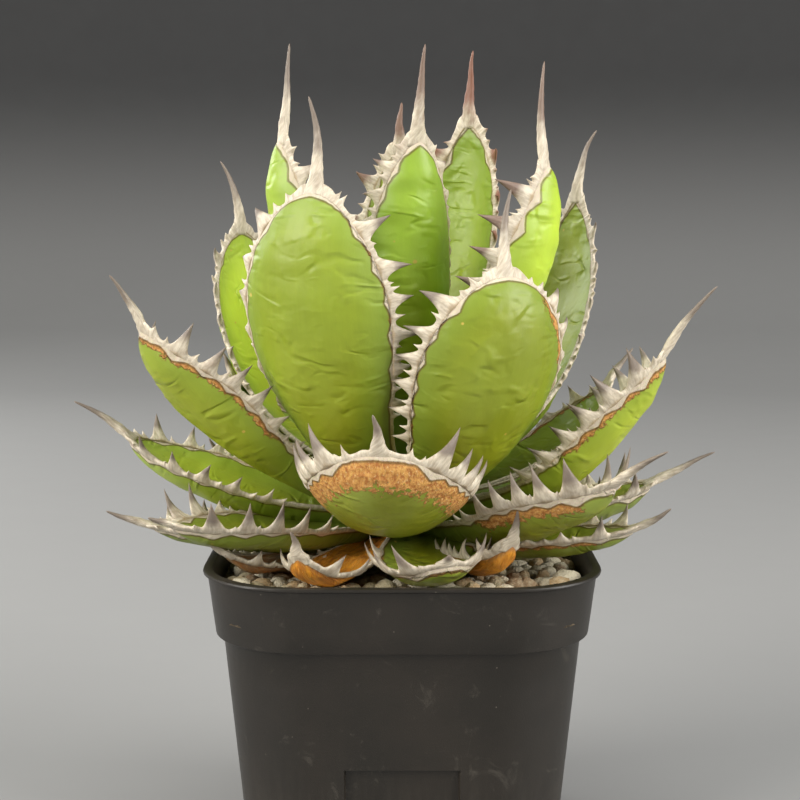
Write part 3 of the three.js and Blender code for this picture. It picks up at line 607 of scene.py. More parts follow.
# Points, faces and layers of the horn round a leaf's edge, with its teeth and its end spine
def horn_mesh(leaf, others):
    outline = leaf.outline(HORN_FIRST_SHARE)
    reached = arc_length(outline)
    total = reached[-1]
    teeth = teeth_of(leaf, outline, reached)
    clear = clear_shares(leaf, others, outline, reached, teeth)
    teeth = [(place, length * share, hook * share, half, rise * share)
             for (place, length, hook, half, rise), share in zip(teeth, clear)]
    even = list(np.arange(0, total, COLUMN_SPACING)) + [total]
    for place, *_ in teeth:
        even += [place, place - 0.2, place + 0.2]
    spots = np.array(sorted(value for value in even if 0 <= value <= total))
    spots = spots[np.concatenate([[True], np.diff(spots) > 0.06])]
    base = places_at(spots, reached, outline)
    run = unit(places_at(spots + 1.6, reached, outline) - places_at(spots - 1.6, reached, outline))
    normals = np.column_stack([-run[:, 1], run[:, 0]])
    columns = len(spots)

    # Width of the plain band
    share = base[:, 0] / leaf.length
    from_tip = np.abs(spots - total / 2)
    band = mix(HORN_SIDE_BASE, HORN_SIDE_TIP, smooth(leaf.horn_start, 0.95, share))
    cap = HORN_CAPS.get(leaf.name, HORN_CAP)
    band = band + cap * (1 - smooth(1.0, 9, from_tip))
    started = smooth(leaf.horn_start - 0.08, leaf.horn_start + 0.03, share)
    band = mix(HORN_LINE_WIDTH, band, started)
    nodules = waves(spots[:, None], leaf.seed * 31 + 7, 6) * 0.32 * started
    band = np.maximum(band + nodules, 0.3)

    # Teeth
    extra = np.zeros(columns)
    back = np.zeros(columns)
    lift = np.zeros(columns)
    full = np.ones(columns)
    for place, length, hook, half, rise in teeth:
        near = np.clip(1 - np.abs(spots - place) / half, 0, 1)
        size = (length + 0.7) * near ** 2.1
        wins = size > extra
        extra = np.where(wins, size, extra)
        back = np.where(wins, hook, back)
        lift = np.where(wins, rise, lift)
        full = np.where(wins, length + 0.7, full)

    across = np.array([0, 0.12, 0.3, 0.5, 0.7, 0.87, 1.0])
    turn = np.concatenate([across, across[-2::-1]])
    upper = np.array([1.0] * len(across) + [-1.0] * (len(across) - 1))
    rings = []
    info = []
    places = []
    wave = waves(spots[:, None], leaf.seed * 31 + 9, 5) * 0.35
    for share_across, side in zip(turn, upper):
        distance = -HORN_OVERLAP + share_across * (HORN_OVERLAP + band + extra)
        beyond = np.clip(distance - band, 0, None) / full
        bent = np.clip(beyond, 0, 1.2) ** 1.6
        along = base[:, 0] + normals[:, 0] * distance - back * bent
        aside = base[:, 1] + normals[:, 1] * distance
        thin = (HORN_HALF_THICKNESS + 0.03 * extra) * np.sqrt(max(1 - share_across ** 2, 0.03))
        thin = thin * mix(1, 0.55, np.clip(beyond, 0, 1))
        height = -EDGE_THICKNESS / 2 + lift * beyond ** 1.4 + wave * share_across + side * thin
        rings.append(leaf.at(along, aside, height))
        tipness = np.clip(np.clip(distance - band, 0, None) / 7, 0, 1)
        info.append(np.column_stack([
            np.full(columns, share_across), tipness, np.clip(beyond, 0, 1), np.ones(columns)]))
        places.append(spots_of(leaf, spots, distance))
    count = len(turn)
    points = np.stack(rings, 1).reshape(-1, 3)
    info = np.stack(info, 1).reshape(-1, 4)
    places = np.stack(places, 1).reshape(-1, 3)
    faces = tube_faces(columns, count)
    spine_points, spine_info, spine_places = spine_rings(leaf)
    faces += tube_faces(SPINE_RINGS + 1, SPINE_SIDES, len(points))
    return (np.vstack([points, spine_points]), faces, np.vstack([info, spine_info]),
            np.vstack([places, spine_places]))


# Rings of the end spine: flat and wide at its root, then a slightly winding taper
def spine_rings(leaf):
    _, ahead, sideways, inward = (value[0] for value in leaf.frame(np.array([leaf.length])))
    point = leaf.at([leaf.length + GAP + 0.35 - SPINE_ROOT], [0], [-EDGE_THICKNESS / 2])[0]
    total = leaf.spine + SPINE_ROOT
    own = np.random.default_rng(leaf.seed * 13 + 3)
    phase = own.uniform(0, 2 * math.pi)
    sway = 0.55 * own.uniform(0.5, 1.2)
    points = []
    info = []
    places = []
    for ring in range(SPINE_RINGS + 1):
        gone = ring / SPINE_RINGS
        travelled = gone * total
        share = max(0.0, (travelled - SPINE_ROOT) / leaf.spine)
        lean = math.radians(leaf.lean) * share * 2 / 3
        turned = math.radians(leaf.sway) * share * 2 / 3
        course = (ahead * math.cos(lean) * math.cos(turned) + inward * math.sin(lean)
                  + sideways * math.sin(turned))
        course = course / np.linalg.norm(course)
        wide = sideways - course * (course @ sideways)
        wide = wide / np.linalg.norm(wide)
        deep = np.cross(course, wide)
        radius = mix(SPINE_RADIUS, SPINE_TIP_RADIUS, share ** 0.7)
        if ring == SPINE_RINGS:
            radius = 0.1
        flare = max(0.0, 1 - travelled / (SPINE_ROOT + 4))
        broad = radius * (1 + 0.45 * flare ** 1.5)
        flat = radius * mix(0.8, 0.42, min(1.0, flare * 1.4))
        winding = sway * math.sin(phase + gone * 7.5) * share * (1 - share) * 2
        centre = point + wide * winding + deep * winding * 0.6
        for side in range(SPINE_SIDES):
            angle = 2 * math.pi * side / SPINE_SIDES
            # A shallow groove runs up the spine's inner face
            groove = 1 - 0.28 * (1 - share) * max(0.0, math.sin(angle)) ** 4
            knot = 1 + 0.05 * math.sin(travelled * 1.9 + side * 1.3 + phase)
            points.append(centre + wide * (broad * knot * math.cos(angle))
                          + deep * (flat * knot * groove * math.sin(angle)))
            info.append((0.6, min(1.0, share ** 0.8), share, 1.0))
            places.append((angle * radius, travelled + 200, leaf.seed * 40.0))
        point = point + course * (total / SPINE_RINGS)
    return np.array(points), np.array(info), np.array(places)


# Builds materials by short calls. An input may be a constant or another node's output.
class Graph:
    def __init__(self, name):
        self.material = bpy.data.materials.new(name)
        self.material.use_nodes = True
        self.tree = self.material.node_tree
        self.tree.nodes.clear()

    def node(self, kind, inputs, **settings):
        made = self.tree.nodes.new(kind)
        for key, value in settings.items():
            setattr(made, key, value)
        for key, value in inputs.items():
            if isinstance(value, bpy.types.NodeSocket):
                self.tree.links.new(value, made.inputs[key])
            elif value is not None:
                if isinstance(value, tuple) and len(value) == 3 and made.inputs[key].type == "RGBA":
                    value = (*value, 1)
                made.inputs[key].default_value = value
        return made

    def attribute(self, name):
        return self.node("ShaderNodeAttribute", {}, attribute_name=name)

    def math(self, operation, one, other=None, third=None):
        inputs = {0: one, 1: other, 2: third}
        return self.node("ShaderNodeMath", inputs, operation=operation).outputs[0]

    def times(self, one, other):
        return self.math("MULTIPLY", one, other)

    def minus(self, one, other):
        return self.math("SUBTRACT", one, other)

    # A value times a factor, plus a shift
    def scaled(self, value, factor, shift):
        return self.math("MULTIPLY_ADD", value, factor, shift)

    # 1 at a centre, falling to 0 within a width on both sides of it
    def near(self, value, centre, width):
        return self.ease(self.math("ABSOLUTE", self.minus(value, centre)), 0.0, width, 1.0, 0.0)

    def place(self):
        return self.node("ShaderNodeNewGeometry", {}).outputs["Position"]

    def blend(self, share, one, other):
        inputs = {0: share, 6: one, 7: other}
        return self.node("ShaderNodeMix", inputs, data_type="RGBA").outputs[2]

    def split(self, color):
        return self.node("ShaderNodeSeparateColor", {0: color}).outputs

    def stretch(self, vector, scale, shift=(0, 0, 0)):
        made = self.node("ShaderNodeMapping", {"Vector": vector, "Scale": scale, "Location": shift})
        return made.outputs[0]

    def noise(self, vector, scale=1.0, detail=3.0, rough=0.55, twist=0.0):
        inputs = {"Vector": vector, "Scale": scale, "Detail": detail, "Roughness": rough,
                  "Distortion": twist}
        return self.node("ShaderNodeTexNoise", inputs).outputs[0]

    # Noise over a leaf's skin or horn, with its own rates across and along
    def grain(self, spot, across, along, detail, rough=0.55, twist=0.0, shift=(0, 0, 0)):
        return self.noise(self.stretch(spot, (across, along, 1), shift), 1, detail, rough, twist)

    def cells(self, vector, scale, output="Distance"):
        inputs = {"Vector": vector, "Scale": scale}
        return self.node("ShaderNodeTexVoronoi", inputs).outputs[output]

    def ease(self, value, low, high, start=0.0, end=1.0):
        inputs = {"Value": value, "From Min": low, "From Max": high, "To Min": start, "To Max": end}
        return self.node("ShaderNodeMapRange", inputs, interpolation_type="SMOOTHSTEP").outputs[0]

    def bump(self, height, distance, normal=None, strength=1.0):
        inputs = {"Height": height, "Distance": distance, "Strength": strength, "Normal": normal}
        return self.node("ShaderNodeBump", inputs).outputs[0]

    def finish(self, color, roughness, normal, **constants):
        shader = self.node("ShaderNodeBsdfPrincipled", {
            "Base Color": color, "Roughness": roughness, "Normal": normal})
        for key, value in constants.items():
            shader.inputs[key.replace("_", " ")].default_value = value
        out = self.tree.nodes.new("ShaderNodeOutputMaterial")
        self.tree.links.new(shader.outputs[0], out.inputs[0])
        return self.material


# Waxy green skin with imprints, streaks, specks and corky scurf along the edge
def leaf_material():
    g = Graph("leaf_skin")
    info = g.attribute("info")
    edge, share, scurf_share = g.split(info.outputs["Color"])[0:3]
    spot = g.attribute("spot").outputs["Vector"]
    tint = g.attribute("tint").outputs["Color"]
    edge_mm = g.times(edge, LAYER_SPAN)

    clouds = g.grain(spot, 0.05, 0.035, 2)
    streaks = g.grain(spot, 1.0, 0.03, 3)
    mottle = g.grain(spot, 0.3, 0.2, 4, 0.6)
    value = g.scaled(clouds, 0.5, 0.75)
    value = g.scaled(streaks, 0.14, g.minus(value, 0.07))
    value = g.scaled(mottle, 0.14, g.minus(value, 0.07))
    # Painted shade: the skin is darker towards the leaf's base, where the leaves overlap
    value = g.times(value, g.ease(share, 0.1, 0.65, 0.34, 1.0))
    shaded = g.node("ShaderNodeVectorMath", {0: tint, "Scale": value}, operation="SCALE").outputs[0]
    # Yellower low in the middle, darker towards the edge, with a thin pale bloom in patches that is
    # partly a painted sheen
    warm = g.times(g.ease(edge_mm, 4.0, 15.0), g.ease(share, 0.75, 0.35, 0.0, 0.45))
    color = g.blend(warm, shaded, (0.33, 0.35, 0.01))
    rim = g.ease(edge_mm, 1.0, 11.0, 0.5, 0.0)
    color = g.blend(rim, color, (0.17, 0.26, 0.035))
    # Pale waxy bloom and painted sheen, in patches and stronger towards the tip
    bloom_and_sheen = g.times(g.ease(clouds, 0.45, 0.7), g.ease(share, 0.35, 0.9, 0.0, 0.22))
    color = g.blend(bloom_and_sheen, color, (0.33, 0.42, 0.12))

    # Corky scurf, with a ragged inner border
    ragged = g.grain(spot, 0.55, 0.55, 4, 0.65, 0.4)
    reach = g.times(scurf_share, g.scaled(ragged, 2.2 * LAYER_SPAN, -0.1 * LAYER_SPAN))
    inside = g.minus(reach, edge_mm)
    cork = g.ease(inside, -0.15, 0.25)
    cork_rim = g.near(inside, 0.0, 0.55)
    flakes = g.grain(spot, 0.9, 0.6, 5, 0.7)
    tan = g.blend(g.ease(flakes, 0.35, 0.65), (0.33, 0.115, 0.02), (0.62, 0.33, 0.085))
    pale = g.ease(g.grain(spot, 1.6, 1.1, 3, shift=(40, 0, 0)), 0.55, 0.7)
    tan = g.blend(g.times(pale, 0.6), tan, (0.68, 0.50, 0.24))
    color = g.blend(cork, color, tan)
    color = g.blend(g.times(cork_rim, 0.6), color, (0.26, 0.12, 0.015))

    # Horn that runs down onto the skin, its dark border line, and scattered yellow specks
    horn_in = g.times(g.attribute("tint").outputs["Alpha"], LAYER_SPAN)
    past = g.minus(edge_mm, horn_in)
    past = g.scaled(g.minus(mottle, 0.5), 0.5, past)
    line = g.near(past, 0.2, 0.45)
    color = g.blend(g.times(line, 0.8), color, (0.11, 0.065, 0.012))
    horn = g.ease(past, -0.2, 0.1, 1.0, 0.0)
    pale_horn = g.blend(streaks, (0.44, 0.36, 0.25), (0.64, 0.57, 0.44))
    color = g.blend(horn, color, pale_horn)
    far = g.cells(spot, 0.17)
    odd = g.cells(spot, 0.17, output="Color")
    rare = g.ease(g.split(odd)[0], 0.74, 0.76)
    size = g.times(g.split(odd)[1], 0.11)
    speck = g.times(rare, g.ease(g.minus(far, size), -0.01, 0.03, 1.0, 0.0))
    color = g.blend(g.times(speck, 0.8), color, (0.55, 0.38, 0.08))

    # Relief: a few pressed creases, soft dents, faint grain and cork
    course = g.grain(spot, 0.055, 0.12, 1, 0.4, 0.5)
    crease = g.near(course, 0.5, 0.10)
    second = g.grain(spot, 0.075, 0.15, 1, 0.4, 0.4, (70, 30, 0))
    fold = g.near(second, 0.48, 0.09)
    broken = g.ease(g.grain(spot, 0.11, 0.11, 2, shift=(9, 5, 0)), 0.42, 0.7)
    dents = g.grain(spot, 0.12, 0.09, 2)
    fine = g.grain(spot, 2.2, 0.9, 3, 0.6)
    height = g.times(g.minus(crease, fold), broken)
    height = g.scaled(dents, 1.6, height)
    height = g.scaled(horn, 1.2, height)
    normal = g.bump(height, 0.0006, strength=0.6)
    normal = g.bump(fine, 0.00005, normal, 0.6)
    lumps = g.times(cork, g.math("ADD", flakes, 0.5))
    normal = g.bump(lumps, 0.0006, normal, 0.9)
    roughness = g.scaled(mottle, 0.16, 0.36)
    roughness = g.scaled(g.math("MAXIMUM", cork, horn), 0.3, roughness)
    return g.finish(color, roughness, normal, Subsurface_Weight=0.12,
                    Subsurface_Radius=(0.5, 1.0, 0.25), Subsurface_Scale=0.002,
                    Specular_IOR_Level=0.42)


# Dry horn: pale grey with fibres, tan at its root and brown towards the tips
def horn_material():
    g = Graph("horn_edge")
    info = g.attribute("info")
    across, tipness, beyond = g.split(info.outputs["Color"])[0:3]
    spot = g.attribute("spot").outputs["Vector"]
    ruddy = g.split(g.attribute("tint").outputs["Color"])[0]
    fibres = g.grain(spot, 1.1, 0.28, 4, 0.6)
    clouds = g.grain(spot, 0.22, 0.2, 3)
    dark = g.ease(fibres, 0.3, 0.7)
    color = g.blend(dark, (0.42, 0.355, 0.26), (0.66, 0.59, 0.465))
    color = g.blend(g.times(g.ease(clouds, 0.5, 0.75), 0.6), color, (0.30, 0.23, 0.17))
    root = g.ease(across, 0.02, 0.22, 0.55, 0.0)
    color = g.blend(g.times(root, g.ease(beyond, 0.0, 0.1, 1.0, 0.0)), color,
                    (0.36, 0.24, 0.11))
    brown = g.blend(ruddy, (0.15, 0.115, 0.09), (0.17, 0.055, 0.03))
    wander = g.scaled(g.minus(clouds, 0.5), 0.5, tipness)
    low = g.scaled(ruddy, -0.35, 0.3)
    tips = g.times(g.ease(g.minus(wander, low), 0.0, 0.45), 0.9)
    color = g.blend(tips, color, brown)
    height = g.scaled(fibres, 1.0, g.times(clouds, 0.6))
    normal = g.bump(height, 0.00028, strength=0.6)
    roughness = g.scaled(fibres, 0.25, 0.4)
    return g.finish(color, roughness, normal, Subsurface_Weight=0.06,
                    Subsurface_Radius=(1.0, 0.7, 0.4), Subsurface_Scale=0.001)


# Withered skin: orange to dark brown, wrinkled and papery
def dried_material():
    g = Graph("dried_skin")
    info = g.attribute("info")
    edge = g.split(info.outputs["Color"])[0]
    spot = g.attribute("spot").outputs["Vector"]
    tint = g.attribute("tint").outputs["Color"]
    clouds = g.grain(spot, 0.3, 0.12, 4, 0.65, 0.5)
    wrinkles = g.grain(spot, 1.1, 0.18, 4, 0.6, 0.6)
    color = g.blend(g.ease(clouds, 0.3, 0.7), (0.42, 0.14, 0.016), tint)
    color = g.blend(g.times(g.ease(wrinkles, 0.5, 0.75), 0.5), color, (0.70, 0.42, 0.12))
    color = g.blend(g.ease(edge, 0.0, 0.06, 0.7, 0.0), color, (0.10, 0.05, 0.02))
    normal = g.bump(g.math("ADD", wrinkles, g.times(clouds, 0.7)), 0.0012, strength=0.9)
    roughness = g.scaled(wrinkles, 0.3, 0.42)
    return g.finish(color, roughness, normal, Subsurface_Weight=0.08, Subsurface_Scale=0.001)


# Satin black plastic with dust, scuffs and dried water marks
def pot_material():
    g = Graph("pot_plastic")
    place = g.place()
    height = g.node("ShaderNodeSeparateXYZ", {0: place}).outputs[2]
    clouds = g.noise(place, 28, 4, 0.6)
    marks = g.noise(place, 95, 5, 0.7, 1.2)
    streaks = g.noise(g.stretch(place, (420, 420, 30)), 1, 4, 0.6)
    dust = g.cells(place, 900)
    odd = g.split(g.cells(place, 900, output="Color"))[0]
    grains = g.times(g.ease(odd, 0.985, 0.99), g.ease(dust, 0.05, 0.25, 1.0, 0.0))
    color = g.blend(g.ease(clouds, 0.35, 0.7), (0.0105, 0.0083, 0.0055), (0.0165, 0.0125, 0.0085))
    water = g.times(g.ease(marks, 0.58, 0.72), 0.35)
    color = g.blend(water, color, (0.075, 0.065, 0.05))
    low = g.ease(height, 0.0, 0.045, 0.3, 0.0)
    color = g.blend(g.times(low, g.ease(streaks, 0.4, 0.7)), color, (0.08, 0.07, 0.055))
    color = g.blend(g.times(grains, 0.45), color, (0.24, 0.21, 0.17))
    grain = g.noise(place, 2600, 3)
    normal = g.bump(grain, 0.00005, strength=0.8)
    normal = g.bump(g.noise(place, 60, 3), 0.0004, normal, 0.35)
    roughness = g.scaled(clouds, 0.16, 0.36)
    roughness = g.scaled(water, 0.5, roughness)
    return g.finish(color, roughness, normal, Specular_IOR_Level=0.5)


# Pumice and baked clay grains, each with its own tint
def gravel_material():
    g = Graph("gravel_grains")
    place = g.place()
    tint = g.attribute("tint").outputs["Color"]
    clouds = g.noise(place, 500, 4, 0.65)
    pits = g.cells(place, 1500)
    color = g.blend(g.ease(clouds, 0.35, 0.8), tint, (0.52, 0.46, 0.33))
    # Painted shade: each grain is darkened in its pits, the hollows of its bump
    color = g.blend(g.ease(pits, 0.1, 0.45, 0.55, 0.0), color, (0.16, 0.12, 0.08))
    color = g.blend(0.35, color, tint)
    normal = g.bump(clouds, 0.0006, strength=0.8)
    normal = g.bump(pits, 0.0003, normal, 0.6)
    return g.finish(color, g.scaled(clouds, 0.15, 0.75), normal)


# Damp dark soil between the grains
def soil_material():
    g = Graph("soil_bed")
    place = g.place()
    clumps = g.noise(place, 420, 5, 0.7)
    color = g.blend(g.ease(clumps, 0.35, 0.65), (0.05, 0.035, 0.02), (0.20, 0.15, 0.09))
    normal = g.bump(clumps, 0.002)
    return g.finish(color, g.scaled(clumps, 0.1, 0.82), normal)


# Fibrous stem
def stem_material():
    g = Graph("stem_fibre")
    place = g.place()
    fibres = g.noise(g.stretch(place, (900, 900, 60)), 1, 4, 0.6)
    color = g.blend(g.ease(fibres, 0.3, 0.7), (0.22, 0.20, 0.08), (0.42, 0.42, 0.18))
    normal = g.bump(fibres, 0.0008)
    return g.finish(color, g.scaled(fibres, 0.2, 0.6), normal)


# Adds a finished piece to the frame
def settle(piece, slot, *nodes):
    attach(piece, "root")
    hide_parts(*nodes)


# A leaf's tone for its age
def tone(age):
    low = min(int(age * 2), 1)
    share = age * 2 - low
    return [mix(a, b, share) for a, b in zip(LEAF_TONES[low], LEAF_TONES[low + 1])]


# One opaque colour for each of a piece's points
def filled(color, count):
    return np.tile([*color, 1.0], (count, 1))


# A leaf's skin and horn, as two pieces, or as one piece of two materials when it is withered
def build_leaf(leaf, leaves, materials):
    points, faces, info, spots, reach = blade_mesh(leaf)
    others = [other for other in leaves if other is not leaf]
    horn_points, horn_faces, horn_info, horn_spots = horn_mesh(leaf, others)
    red = RUDDY.get(leaf.name, 0.0)
    horn_tint = filled((red, red, red), len(horn_points))
    if leaf.horn_fused:
        shift = len(points)
        joined = [tuple(index + shift for index in face) for face in horn_faces]
        layers = dict(info=np.vstack([info, horn_info]), spot=np.vstack([spots, horn_spots]),
                      tint=np.vstack([filled(DRIED_TONES[leaf.name], shift), horn_tint]))
        which = [0] * len(faces) + [1] * len(joined)
        piece = make_piece("dried_" + leaf.name, np.vstack([points, horn_points]), faces + joined,
                           [materials["dried"], materials["horn"]], layers, which)
        settle(piece, "dried_leaf", "dried_leaf_" + leaf.name)
        return
    # Painted light and shade: the tone for the leaf's age is scaled up or down for how light falls on
    # this leaf
    painted_light = PAINTED_LIGHT.get(leaf.name, 1.0)
    tint = filled([value * painted_light for value in tone(AGES[leaf.name])], len(points))
    tint[:, 3] = reach / LAYER_SPAN
    layers = dict(info=info, spot=spots, tint=tint)
    piece = make_piece("blade_" + leaf.name, points, faces, [materials["leaf"]], layers)
    settle(piece, "leaf", "leaf_" + leaf.name)
    layers = dict(info=horn_info, spot=horn_spots, tint=horn_tint)
    piece = make_piece("edge_" + leaf.name, horn_points, horn_faces, [materials["horn"]], layers)
    settle(piece, "horn", "horn_" + leaf.name)


# A ring round the pot: for each quarter, a corner's arc and the flat with the recess's borders
def pot_ring(half, z, inset=0.0):
    corner = half * CORNER_SHARE
    border = RECESS_WIDTH / 2
    points = []
    for quarter in range(4):
        diagonal = math.radians(45 + 90 * quarter)
        centre = np.array([math.copysign(half - corner, math.cos(diagonal)),
                           math.copysign(half - corner, math.sin(diagonal))])
        for step in range(CORNER_STEPS + 1):
            angle = math.radians(90 * quarter + 90 * step / CORNER_STEPS)
            spot = centre + corner * np.array([math.cos(angle), math.sin(angle)])
            points.append((spot[0], spot[1], z))
        # The flat that follows this corner
        turn = math.radians(90 * (quarter + 1))
        outward = np.array([math.cos(turn), math.sin(turn)])
        beside = np.array([-math.sin(turn), math.cos(turn)])
        for across, depth in ((-border - 0.5, 0), (-border, inset), (0, inset), (border, inset),
                              (border + 0.5, 0)):
            spot = outward * (half - depth) + beside * across
            points.append((spot[0], spot[1], z))
    return points


# Hollow pot with a band, a lip, a recess in each side and drain holes
def build_pot(material):
    def body(z):
        return mix(BASE_HALF, BODY_TOP_HALF, z / BAND_BOTTOM)

    def inner(z):
        if z <= BAND_BOTTOM:
            return body(z) - WALL
        share = (z - BAND_BOTTOM) / (POT_HEIGHT - BAND_BOTTOM)
        return mix(BODY_TOP_HALF, BAND_TOP_HALF, share) - WALL

    # Half width, height and recess of each ring: up the outside, over the lip and down the inside
    levels = [(body(0) - 0.7, 0, 0), (body(0) - 0.2, 0.15, RECESS_DEPTH),
              (body(0.8), 0.8, RECESS_DEPTH)]
    levels += [(body(z), z, RECESS_DEPTH) for z in (12, 24, RECESS_HEIGHT - 0.3)]
    levels += [(body(z), z, 0) for z in (RECESS_HEIGHT, 48, 60, BAND_BOTTOM - 0.4)]
    levels += [(BODY_TOP_HALF + 0.15, BAND_BOTTOM - 0.1, 0),
               (BAND_BOTTOM_HALF - 0.35, BAND_BOTTOM, 0), (BAND_BOTTOM_HALF, BAND_BOTTOM + 0.4, 0),
               (53.4, 77, 0), (54.1, 83, 0),
               (BAND_TOP_HALF - 0.05, 88.0, 0), (54.95, 88.5, 0), (55.5, 88.75, 0),
               (LIP_HALF - 0.1, 88.95, 0), (LIP_HALF, 89.3, 0), (LIP_HALF - 0.12, 89.75, 0),
               (LIP_HALF - 0.5, 89.98, 0), (54.2, 90.0, 0), (53.6, 89.8, 0), (53.25, 89.2, 0)]
    levels += [(inner(z), z, 0) for z in (86, 78, BAND_BOTTOM, 50)]
    levels += [(inner(z), z, RECESS_DEPTH) for z in (RECESS_HEIGHT + 1, 20, FLOOR)]
    points = [point for level in levels for point in pot_ring(*level)]
    count = len(points) // len(levels)
    faces = tube_faces(len(levels), count)
    pot = make_piece("nursery_pot", points, faces, [material])
    # The underside and the floor have four drain holes
    for x in (-DRAIN_OFFSET, DRAIN_OFFSET):
        for y in (-DRAIN_OFFSET, DRAIN_OFFSET):
            turn = np.linspace(0, 2 * math.pi, DRAIN_SIDES, endpoint=False)
            circle = [x, y] + DRAIN_RADIUS * np.column_stack([np.cos(turn), np.sin(turn)])
            ends = [np.column_stack([circle, np.full(DRAIN_SIDES, z)]) for z in (-2.0, FLOOR + 2)]
            drill = make_piece("drill", np.vstack(ends), tube_faces(2, DRAIN_SIDES), [material])
            cut = pot.modifiers.new("drain", "BOOLEAN")
            cut.operation = "DIFFERENCE"
            cut.object = drill
            with bpy.context.temp_override(object=pot):
                bpy.ops.object.modifier_apply(modifier="drain")
            bpy.data.objects.remove(drill)
    smooth_by_angle(pot, 35)
    settle(pot, "pot", "pot")


# Shades a mesh smooth except across edges sharper than an angle
def smooth_by_angle(piece, degrees):
    mesh = piece.data
    mesh.polygons.foreach_set("use_smooth", [True] * len(mesh.polygons))
    with bpy.context.temp_override(object=piece, selected_editable_objects=[piece]):
        bpy.ops.object.shade_smooth_by_angle(angle=math.radians(degrees))


# Points and faces of a ball of 80 triangles
def ball():
    form = bmesh.new()
    bmesh.ops.create_icosphere(form, subdivisions=2, radius=1)
    points = np.array([vertex.co[:] for vertex in form.verts])
    faces = [tuple(vertex.index for vertex in face.verts) for face in form.faces]
    form.free()
    return points, faces


# Half side of the rounded square that runs through a place on the gravel
def square_reach(x, y):
    return (abs(x) ** 5 + abs(y) ** 5) ** 0.2


# Loose grains up to the pot's wall, but not where the stem stands
def build_gravel(material):
    random = np.random.default_rng(41)
    ball_points, ball_faces = ball()
    stones = []
    steps = int(2 * PEBBLE_GRID_HALF / PEBBLE_SPACING) + 1
    for row in range(steps):
        for column in range(steps):
            x = -PEBBLE_GRID_HALF + PEBBLE_SPACING * (column + 0.5 * (row % 2))
            x += random.uniform(-PEBBLE_JITTER, PEBBLE_JITTER)
            y = -PEBBLE_GRID_HALF + PEBBLE_SPACING * row
            y += random.uniform(-PEBBLE_JITTER, PEBBLE_JITTER)
            radius = random.uniform(*PEBBLE_RADIUS)
            if square_reach(x, y) > GRAVEL_HALF - radius or math.hypot(x, y) < STEM_CLEARANCE:
                continue
            stones.append((x, y, GRAVEL_TOP - 0.8 * radius + random.uniform(0, 1.9), radius))
    stones += LARGE_STONES
    points = []
    faces = []
    tints = []
    for number, (x, y, z, radius) in enumerate(stones):
        squash = np.array([random.uniform(0.8, 1.15), random.uniform(0.8, 1.15),
                           random.uniform(0.65, 0.95)])
        lumps = waves(ball_points * 3 + number * 9.0, 77, 3.2)[:, None] * 0.16
        corners = waves(ball_points * 3 + number * 5.0, 78, 1.9)[:, None] * 0.08
        turned = random.uniform(0, 2 * math.pi)
        spin = np.array([[math.cos(turned), -math.sin(turned), 0],
                         [math.sin(turned), math.cos(turned), 0], [0, 0, 1]])
        form = (ball_points * (1 + lumps + corners) * squash) @ spin.T * radius
        shift = len(ball_points) * number
        points.append(form + [x, y, z])
        faces += [tuple(index + shift for index in face) for face in ball_faces]
        pick = GRAVEL_TONES[random.choice(4, p=GRAVEL_SHARES)]
        tints.append(filled(np.array(pick) * random.uniform(0.8, 1.1), len(ball_points)))
    layers = dict(tint=np.vstack(tints))
    piece = make_piece("gravel", np.vstack(points), faces, [material], layers)
    settle(piece, "gravel", "soil")


# The bed that the grains lie on
def build_bed(material):
    steps = BED_STEPS
    grid = np.linspace(-1, 1, steps)
    points = []
    for v in grid:
        for u in grid:
            # A square grid drawn onto the pot's rounded square section
            reach = max(abs(u), abs(v))
            size = math.hypot(u, v) or 1
            direction = np.array([u, v]) / size
            spot = direction * reach / square_reach(*direction) * BED_HALF
            points.append((spot[0], spot[1], GRAVEL_TOP - BED_DROP))
    points = np.array(points)
    points[:, 2] += waves(points[:, :2], 55, 7) * 0.7
    count = len(points)
    under = points.copy()
    under[:, 2] = GRAVEL_TOP - BED_UNDERSIDE_DROP
    faces = []
    for row in range(steps - 1):
        for column in range(steps - 1):
            a = row * steps + column
            faces.append((a, a + 1, a + steps + 1, a + steps))
            faces.append((count + a, count + a + steps, count + a + steps + 1, count + a + 1))
    rim = list(range(steps)) + [i * steps + steps - 1 for i in range(1, steps)]
    rim += [(steps - 1) * steps + i for i in range(steps - 2, -1, -1)]
    rim += [i * steps for i in range(steps - 2, 0, -1)]
    for here, beside in zip(rim, rim[1:] + rim[:1]):
        faces.append((beside, here, count + here, count + beside))
    bed = make_piece("soil_bed", np.vstack([points, under]), faces, [material])
    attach(bed, "root")


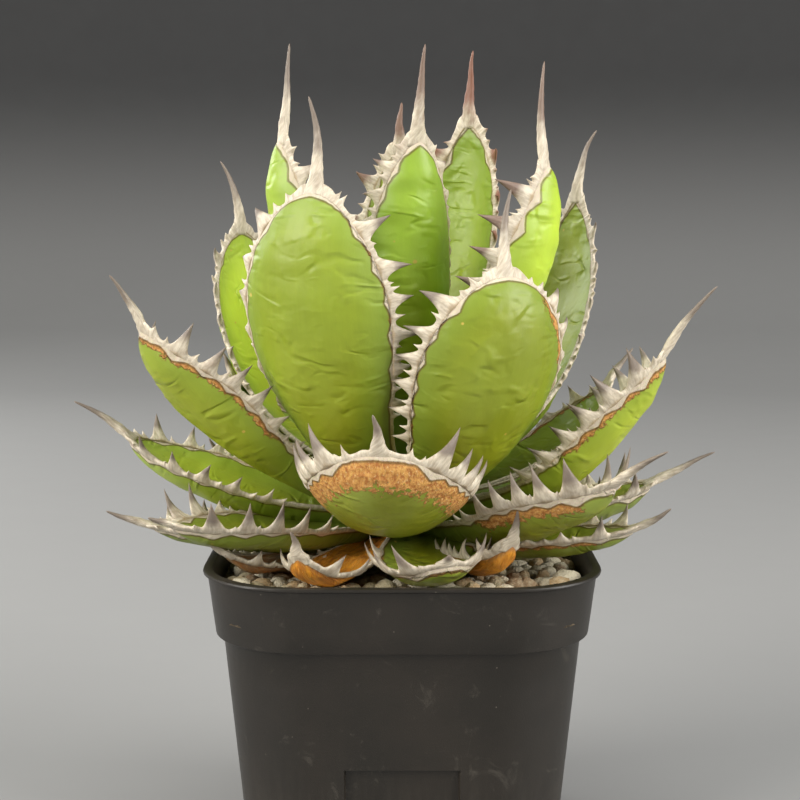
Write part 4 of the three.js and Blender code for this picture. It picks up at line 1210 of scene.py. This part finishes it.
# Plain pale sweep, floor and wall in one
def build_stage():
    points = []
    for radius, height in SWEEP_RINGS:
        for side in range(SWEEP_SIDES):
            angle = 2 * math.pi * side / SWEEP_SIDES
            points.append((radius * math.cos(angle), radius * math.sin(angle), height))
    faces = []
    for ring in range(len(SWEEP_RINGS) - 1):
        for side in range(SWEEP_SIDES):
            here = ring * SWEEP_SIDES + side
            beside = ring * SWEEP_SIDES + (side + 1) % SWEEP_SIDES
            faces.append((here, here + SWEEP_SIDES, beside + SWEEP_SIDES, beside))
    faces.append(tuple(range(SWEEP_SIDES)))
    g = Graph("studio_sweep")
    place = g.place()
    height = g.node("ShaderNodeSeparateXYZ", {0: place}).outputs[2]
    speckle = g.noise(place, 30, 3)
    color = g.blend(g.ease(height, 0.0, 0.4), (0.25, 0.25, 0.245), (0.042, 0.042, 0.042))
    color = g.blend(g.times(speckle, 0.08), color, (0.16, 0.16, 0.16))
    material = g.finish(color, g.scaled(speckle, 0.05, 0.8), None)
    sweep = make_piece("sweep", np.array(points) / MM, faces, [material])


# A square area light that shines on the plant
def add_light(name, place, size, power, color):
    lamp = bpy.data.lights.new(name, "AREA")
    lamp.shape = "SQUARE"
    lamp.size = size
    lamp.energy = power
    lamp.color = color
    holder = bpy.data.objects.new(name, lamp)
    holder.location = place
    direction = np.array(AIM) - np.array(place)
    holder.rotation_mode = "QUATERNION"
    holder.rotation_quaternion = mathutils.Vector(direction).to_track_quat("-Z", "Y")
    bpy.context.scene.collection.objects.link(holder)


# The world's light, the lamps, and the camera of the photo's view
def build_studio():
    world = bpy.data.worlds.new("studio")
    world.use_nodes = True
    background = world.node_tree.nodes["Background"]
    background.inputs[0].default_value = WORLD_COLOR
    background.inputs[1].default_value = WORLD_STRENGTH
    bpy.context.scene.world = world
    for row in LIGHTS:
        add_light(**row)
    camera = bpy.data.cameras.new("photo_view")
    camera.sensor_width = SENSOR_WIDTH
    camera.lens = CAMERA_LENS
    camera.clip_start = 0.01
    camera.clip_end = 50
    holder = bpy.data.objects.new("photo_view", camera)
    holder.location = CAMERA_PLACE
    holder.rotation_euler = (math.radians(90 - CAMERA_PITCH), 0, 0)
    bpy.context.scene.collection.objects.link(holder)
    bpy.context.scene.camera = holder
    bpy.context.scene.view_settings.view_transform = "Standard"


materials = dict(leaf=leaf_material(), horn=horn_material(), dried=dried_material(),
                 gravel=gravel_material(), soil=soil_material(), stem=stem_material())
build_studio()
build_stage()
build_pot(pot_material())
build_gravel(materials["gravel"])
build_bed(materials["soil"])
leaves = [Leaf(row) for row in LEAVES]
for leaf in leaves:
    build_leaf(leaf, leaves, materials)

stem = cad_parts["stem"]
stem.data.materials.clear()
stem.data.materials.append(materials["stem"])
